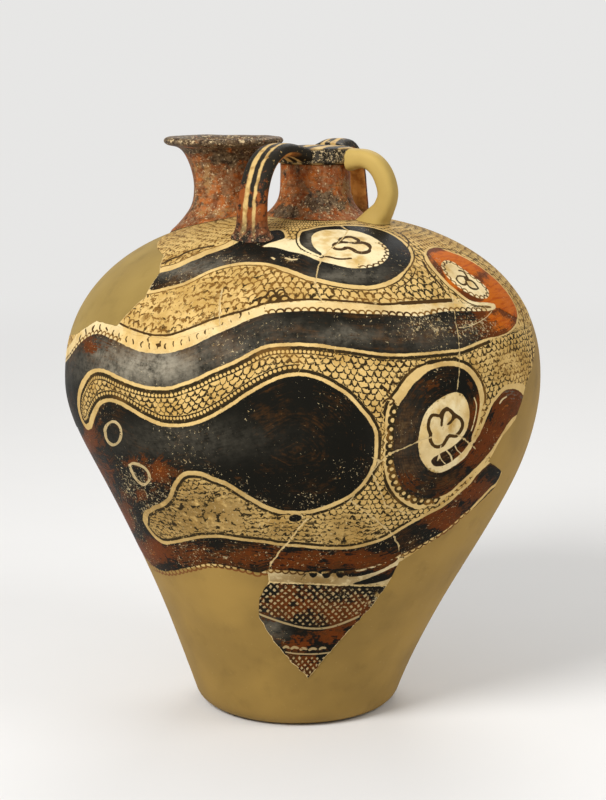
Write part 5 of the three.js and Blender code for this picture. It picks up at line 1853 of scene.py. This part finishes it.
@dataclass
class Handle:
    """A handle drawn out from the disc and luted to the shoulder."""

    body: PotBody
    neck: Neck
    name: str
    line: tuple[tuple[float, float], ...]
    start: float
    reach: float
    top: float
    fall: float
    azimuth: float
    wide: float
    thick: float
    spread: float = 1.25
    lap: float = 22.5
    square: float = 0.7
    disc_radius: float = 28.5
    grip: float = 0.20
    grip_reach: float = 13.0
    foot_spread: float = 4.2
    foot_rise: float = 11.0
    columns: int = 44
    rows: int = 90

    def build(self, material: bpy.types.Material) -> bpy.types.Object:
        """Builds and dresses the handle.

        Args:
            material: its finish.

        Returns:
            The new object.
        """
        control = np.array([(self.lap, self.start)] + [(self.reach * out, self.top - self.fall * down)
                                                       for out, down in self.line])
        path, _ = spline(control, 0.7)
        length = np.concatenate([[0], np.cumsum(np.linalg.norm(np.diff(path, axis=0), axis=1))])
        share = length / length[-1]
        run = np.gradient(path, length, axis=0)
        run /= np.linalg.norm(run, axis=1)[:, None]
        turn = np.arange(self.columns) / self.columns * 2 * math.pi
        grip = np.clip(1 - (path[:, 0] - self.disc_radius) / self.grip_reach, 0, 1) ** 2 * (share < 0.5)
        swell = 1 + (self.spread - 1) * np.clip(2.5 * share - 1.5, 0, 1) + self.grip * grip
        bent = lambda v: np.sign(v) * np.abs(v) ** self.square
        side = bent(np.cos(turn))[None, :] * self.wide / 2 * swell[:, None]
        lift = bent(np.sin(turn))[None, :] * self.thick / 2 * swell[:, None]
        out = path[:, 0][:, None] - run[:, 1][:, None] * lift
        z = path[:, 1][:, None] + run[:, 0][:, None] * lift
        a = math.radians(self.azimuth)
        x = self.neck.offset + out * math.cos(a) - side * math.sin(a)
        y = out * math.sin(a) + side * math.cos(a)
        points = self._fillet(self._trim(x, y, z, length))
        maker = MeshMaker()
        shape = points.reshape(-1, 3)
        shake = np.array([noise.noise(Vector(p) * 0.07) for p in shape])
        shape = shape + 0.3 * shake[:, None] * np.array([0.4, 0.4, 0.6])
        first = maker.add(shape)
        ring = lambda row: [first + row * self.columns + k for k in range(self.columns)]
        for row in range(self.rows - 1):
            maker.strip(ring(row), ring(row + 1))
        for row, flip in ((0, True), (self.rows - 1, False)):
            middle = maker.add(shape[row * self.columns:(row + 1) * self.columns].mean(0)[None, :])
            loop = ring(row)
            for k in range(self.columns):
                a0, b0 = loop[k], loop[(k + 1) % self.columns]
                maker.faces.append((b0, a0, middle) if flip else (a0, b0, middle))
            maker.crease(loop)
        level = np.tile(bent(np.cos(turn)), self.rows)
        drop = np.repeat(np.linspace(0, 1, self.rows), self.columns)
        below = np.tile((np.sin(turn) < -0.25).astype(float), self.rows) * np.clip(6 * drop - 0.6, 0, 1)
        maker.measures = {"side": level, "under": below, "drop": drop, "foot": np.clip(6 * drop - 4.9, 0, 1)}
        piece = maker.make(self.name + "_skin", material)
        LOG.info("%s built", self.name)
        return piece

    def _fillet(self, made: np.ndarray) -> np.ndarray:
        """Spreads the luted foot out over the shoulder."""
        middle = made.mean(1)[:, None, :]
        over = made[:, :, 2] - self.body.top(made[-1, :, 0], made[-1, :, 1])[None, :]
        late = (np.arange(self.rows) > self.rows // 2)[:, None]
        ragged = np.array([noise.noise(Vector(p) * 0.13) for p in made[-1]])
        push = self.foot_spread * np.clip(1 - over / self.foot_rise, 0, 1) ** 2.4 * late * (0.9 + 0.4 * ragged)
        away = made[:, :, :2] - middle[:, :, :2]
        away /= np.maximum(np.linalg.norm(away, axis=2), 1e-6)[:, :, None]
        made[:, :, :2] += away * push[:, :, None]
        ground = self.body.top(made[:, :, 0], made[:, :, 1]) + SEAT_GAP
        made[:, :, 2] = np.where(late, np.maximum(made[:, :, 2], ground), made[:, :, 2])
        made[-1, :, 2] = ground[-1]
        return made

    def _trim(self, x: np.ndarray, y: np.ndarray, z: np.ndarray, length: np.ndarray) -> np.ndarray:
        """Ends every column at the disc and at the shoulder or the false neck's foot.

        Args:
            x: points' x by row and column.
            y: points' y.
            z: points' z.
            length: way along the handle, per row.

        Returns:
            Points by row and column.
        """
        radial = np.hypot(x - self.neck.offset, y)
        leave = radial - self.disc_radius - SEAT_GAP
        off = self.body.locate(np.column_stack([x.ravel(), y.ravel(), z.ravel()]))[2].reshape(x.shape) - SEAT_GAP
        flare = radial - self.neck.radius(z) - SEAT_GAP
        made = np.zeros((self.rows, self.columns, 3))
        half = len(length) // 2
        for k in range(self.columns):
            inner = np.nonzero(leave[:half, k] < 0)[0]
            begin = float(inner[-1] + 1) if len(inner) else 0.0
            clear = np.minimum(off[:, k], np.where(np.arange(len(length)) > half, flare[:, k], 1.0))
            low = np.nonzero(clear[half:] < 0)[0]
            end = float(len(length) - 1)
            if len(low) and low[0] > 0:
                i = half + low[0]
                end = i - 1 + clear[i - 1] / max(1e-6, clear[i - 1] - clear[i])
            span = np.interp([begin, end], np.arange(len(length)), length)
            want = np.linspace(span[0], span[1], self.rows)
            for axis, values in enumerate((x[:, k], y[:, k], z[:, k])):
                made[:, k, axis] = np.interp(want, length, values)
        return made


@dataclass
class Disc:
    """The flat disc that closes the false neck."""

    offset: float = 10.0
    radius: float = 28.5
    foot: float = 405.5
    top: float = 417.0
    round: float = 2.5
    dome: float = 1.2
    columns: int = 112

    def build(self, material: bpy.types.Material) -> bpy.types.Object:
        """Builds and dresses the disc.

        Args:
            material: its finish.

        Returns:
            The new object.
        """
        arc = np.linspace(0, math.pi / 2, 6)
        line = [(r, self.foot) for r in (8.0, 16.0, 22.0)]
        core = self.radius - self.round
        line += [(core + self.round * math.sin(a), self.foot + self.round * (1 - math.cos(a))) for a in arc]
        line += [(self.radius, self.foot + 4.4), (self.radius, self.foot + 6.8)]
        line += [(core + self.round * math.cos(a), self.top - self.round + self.round * math.sin(a)) for a in arc]
        line += [(r, self.top + self.dome * (1 - (r / core) ** 2)) for r in (22.0, 18.0, 14.0, 10.0, 6.0, 3.0)]
        profile = np.array(line)
        turn = np.arange(self.columns) / self.columns * 2 * math.pi
        maker = MeshMaker()
        points = np.stack([self.offset + profile[:, 0][:, None] * np.cos(turn), profile[:, 0][:, None] * np.sin(turn),
                           np.repeat(profile[:, 1][:, None], self.columns, 1)], axis=2)
        shape = points.reshape(-1, 3)
        shape[:, 2] += np.array([0.25 * noise.noise(Vector(p) * 0.08) for p in shape])
        maker.add(shape)
        ring = lambda row: [row * self.columns + k for k in range(self.columns)]
        for row in range(len(profile) - 1):
            maker.strip(ring(row), ring(row + 1))
        for row, z, flip in ((0, self.foot, True), (len(profile) - 1, self.top + self.dome, False)):
            middle = maker.add(np.array([[self.offset, 0.0, z]]))
            loop = ring(row)
            for k in range(self.columns):
                a, b = loop[k], loop[(k + 1) % self.columns]
                maker.faces.append((b, a, middle) if flip else (a, b, middle))
        every = np.vstack(maker.points)
        past = np.hypot(every[:, 0] - self.offset, every[:, 1]) - self.radius + 1.2
        maker.measures = {"side": (every[:, 0] - self.offset) / self.radius, "under": np.zeros(len(every)),
                          "drop": np.zeros(len(every)), "foot": np.clip(past, 0, 1)}
        piece = maker.make("disc_skin", material)
        LOG.info("disc built")
        return piece


@dataclass
class Studio:
    """Pale floor, soft lights and the camera."""

    view: PictureView
    pale: Colour = (0.80, 0.795, 0.785)

    def build(self) -> None:
        """Builds the studio."""
        self._floor()
        self._world()
        self._light("key", (-1.25, -1.60, 1.75), (0.0, 0.0, 0.22), 1.0, 58.0)
        self._light("side", (1.9, -0.9, 1.7), (0.0, 0.0, 0.24), 1.2, 16.5)
        self._light("back", (0.3, 1.9, 1.9), (0.0, 0.0, 0.3), 1.4, 20.0)
        self._camera()
        bpy.context.scene.view_settings.view_transform = "Standard"

    def _floor(self) -> None:
        """Makes the floor, which melts into the backdrop far away and keeps the shadow near."""
        g = Graph("pale_floor")
        mesh = bpy.data.meshes.new("floor")
        size = 7.0
        mesh.from_pydata([(-size, -size, 0), (size, -size, 0), (size, size, 0), (-size, size, 0)], [], [(0, 1, 2, 3)])
        mesh.materials.append(g.material)
        floor = bpy.data.objects.new("floor", mesh)
        bpy.context.scene.collection.objects.link(floor)
        tint = g.mix(g.noise(60.0, 3.0, 71.0), self.pale, tuple(c * 0.985 for c in self.pale))
        g.finish(tint, g.add(g.times(g.noise(40.0, 3.0, 72.0), 0.1), 0.6),
                 g.bump(g.noise(3.0, 3.0, 73.0), 0.05, 0.2), 0.2)
        glow = g.tree.nodes.new("ShaderNodeEmission")
        glow.inputs["Color"].default_value = (*self.pale, 1.0)
        glow.inputs["Strength"].default_value = 1.0
        length = g.tree.nodes.new("ShaderNodeVectorMath")
        length.operation = "LENGTH"
        g.feed(length.inputs[0], g.place)
        far = g.rise(length.outputs["Value"], 0.45, 2.6)
        join = g.tree.nodes.new("ShaderNodeMixShader")
        path = g.tree.nodes.new("ShaderNodeLightPath")
        seen = g.most(*(path.outputs[f"Is {ray} Ray"] for ray in ("Camera", "Glossy", "Transmission")))
        g.feed(join.inputs[0], g.times(far, seen))
        g.tree.links.new(g.surface.outputs[0], join.inputs[1])
        g.tree.links.new(glow.outputs[0], join.inputs[2])
        g.tree.links.new(join.outputs[0], g.out.inputs[0])

    def _world(self) -> None:
        """Lights the room evenly and shows a pale backdrop to the camera."""
        world = bpy.data.worlds.new("studio")
        bpy.context.scene.world = world
        world.use_nodes = True
        tree = world.node_tree
        tree.nodes.clear()
        out = tree.nodes.new("ShaderNodeOutputWorld")
        room, back = tree.nodes.new("ShaderNodeBackground"), tree.nodes.new("ShaderNodeBackground")
        room.inputs["Color"].default_value = (1.0, 0.985, 0.96, 1.0)
        room.inputs["Strength"].default_value = 0.40
        back.inputs["Color"].default_value = (*self.pale, 1.0)
        back.inputs["Strength"].default_value = 1.0
        path, join = tree.nodes.new("ShaderNodeLightPath"), tree.nodes.new("ShaderNodeMixShader")
        seen = path.outputs["Is Camera Ray"]
        for ray in ("Is Glossy Ray", "Is Transmission Ray"):
            most = tree.nodes.new("ShaderNodeMath")
            most.operation = "MAXIMUM"
            tree.links.new(seen, most.inputs[0])
            tree.links.new(path.outputs[ray], most.inputs[1])
            seen = most.outputs[0]
        tree.links.new(seen, join.inputs[0])
        tree.links.new(room.outputs[0], join.inputs[1])
        tree.links.new(back.outputs[0], join.inputs[2])
        tree.links.new(join.outputs[0], out.inputs[0])

    def _light(self, name: str, place: Colour, aim: Colour, size: float, power: float) -> None:
        """Hangs one soft light.

        Args:
            name: its name.
            place: where it hangs, with the camera's side toward minus y.
            aim: the point it faces.
            size: its width.
            power: its power in watts.
        """
        turn = math.radians(self.view.turn)
        light = bpy.data.lights.new(name, "AREA")
        light.shape, light.size, light.energy = "DISK", size, power
        lamp = bpy.data.objects.new(name, light)
        bpy.context.scene.collection.objects.link(lamp)
        x, y, z = place
        lamp.location = (x * math.cos(turn) - y * math.sin(turn), x * math.sin(turn) + y * math.cos(turn), z)
        lamp.rotation_euler = (Vector(aim) - lamp.location).to_track_quat("-Z", "Y").to_euler()

    def _camera(self) -> None:
        """Sets the camera where the picture was taken from."""
        data = bpy.data.cameras.new("camera")
        data.lens, data.sensor_width, data.sensor_fit = self.view.lens, self.view.sensor, "AUTO"
        camera = bpy.data.objects.new("camera", data)
        bpy.context.scene.collection.objects.link(camera)
        turn = math.radians(self.view.turn)
        camera.location = (self.view.distance * MM * math.sin(turn), -self.view.distance * MM * math.cos(turn),
                           self.view.height * MM)
        camera.rotation_euler = (math.pi / 2 - self.view.pitch, 0.0, turn)
        bpy.context.scene.camera = camera


@dataclass
class StirrupJar:
    """The whole mended jar."""

    solids: dict[str, bpy.types.Object]
    body: PotBody = field(default_factory=PotBody)
    view: PictureView = field(default_factory=PictureView)

    def __post_init__(self) -> None:
        """Lays the painting out."""
        self.scheme = PaintScheme(self.body, self.view)
        self.painted = PaintedClay().make(0.0)
        self.red_painted = PaintedClay().make(0.34)

    def settle(self, piece: bpy.types.Object, node: str) -> None:
        """Puts a finished piece in place of its node."""
        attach(piece, "root")
        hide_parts(node)

    def build(self) -> None:
        """Builds every piece in order."""
        self._sherds()
        self._fills()
        self._top()

    def _sherds(self) -> None:
        """Builds the painted sherds, finer on the side the figure was traced from."""
        fine, coarse = 2.0, 2.7
        plan = (("left_shoulder_sherd", fine, 0.05), ("front_shoulder_sherd", fine, -0.1),
                ("right_shoulder_sherd", fine, 0.15), ("red_shoulder_sherd", fine, 0.0),
                ("left_belly_sherd", fine, 0.0), ("eye_sherd", fine, -0.15), ("front_belly_sherd", fine, 0.2),
                ("bulb_sherd", fine, 0.05), ("right_belly_sherd", fine, -0.1), ("spiral_sherd", fine, 0.1),
                ("lower_right_sherd", fine, -0.1), ("lower_front_sherd", fine, 0.1), ("triangular_sherd", 1.6, 0.2),
                ("back_right_shoulder_sherd", coarse, 0.1), ("back_shoulder_sherd", coarse, -0.1),
                ("back_right_belly_sherd", coarse, 0.1), ("back_belly_sherd", coarse, -0.1),
                ("back_left_belly_sherd", coarse, 0.1))
        for node, spacing, level in plan:
            red = node == "red_shoulder_sherd"
            piece = WallPiece(node, Slot.RED if red else Slot.DARK, self.body, self.scheme, spacing, level,
                              all_dark=node == "triangular_sherd")
            self.settle(piece.build(self.solids[node], self.red_painted if red else self.painted), node)

    def _fills(self) -> None:
        """Builds the plaster fills."""
        lower = WallPiece("lower_body_fill", Slot.PLASTER, self.body, self.scheme, 5.0, -0.25, True, False)
        finish = Plaster("lower_plaster", (0.335, 0.207, 0.052), (0.250, 0.155, 0.041), True).make()
        self.settle(lower.build(self.solids[lower.node], finish), lower.node)
        left = WallPiece("left_shoulder_fill", Slot.PLASTER, self.body, self.scheme, 5.0, -0.2, False, False)
        finish = Plaster("shoulder_plaster", (0.335, 0.228, 0.066), (0.265, 0.178, 0.050)).make()
        self.settle(left.build(self.solids[left.node], finish), left.node)

    def _top(self) -> None:
        """Builds the necks, the disc and the three handles."""
        necks = Necks(self.body, self.view)
        spout, neck = necks.build()
        self.settle(spout, "spout")
        self.settle(neck, "false_neck")
        stripes = StripedClay("disc_stripes", rust=(0.030, 0.022, 0.014), flaked=0.045,
                              bands=((-0.95, -0.7), (-0.45, -0.2), (0.05, 0.3), (0.55, 0.85)))
        disc = Disc().build(stripes.make(0.02))
        self.settle(disc, "disc")
        strap = ((0.48, 0.006), (0.68, 0.018), (0.85, 0.122), (0.95, 0.304), (0.99, 0.523), (1.0, 0.781), (1.0, 1.0))
        plain = ((0.7, -0.009), (0.9, 0.121), (1.0, 0.38), (0.95, 0.587), (0.817, 0.741), (0.765, 1.0))
        shape = necks.false_neck()
        for name, azimuth, wear in (("front_strap_handle", -95.4, 0.0), ("rear_strap_handle", 95.4, 0.03)):
            handle = Handle(self.body, shape, name, strap, 411.25, 85.6, 416.85, 82.25, azimuth, 22.0, 9.5)
            self.settle(handle.build(StripedClay(name + "_stripes").make(wear)), name)
        handle = Handle(self.body, shape, "plain_handle", plain, 407.7, 57.5, 408.55, 57.95, 0.0, 16.0, 13.5)
        finish = Plaster("handle_plaster", (0.54, 0.375, 0.110), (0.42, 0.285, 0.078)).make()
        self.settle(handle.build(finish), "plain_handle")


def main() -> None:
    """Builds the jar and the studio."""
    logging.basicConfig(level=logging.INFO, format="%(message)s")
    noise.seed_set(NOISE_SEED)
    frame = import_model()
    StirrupJar(frame["nodes"]).build()
    Studio(PictureView()).build()
    LOG.info("jar dressed")


if __name__ == "__main__":
    main()
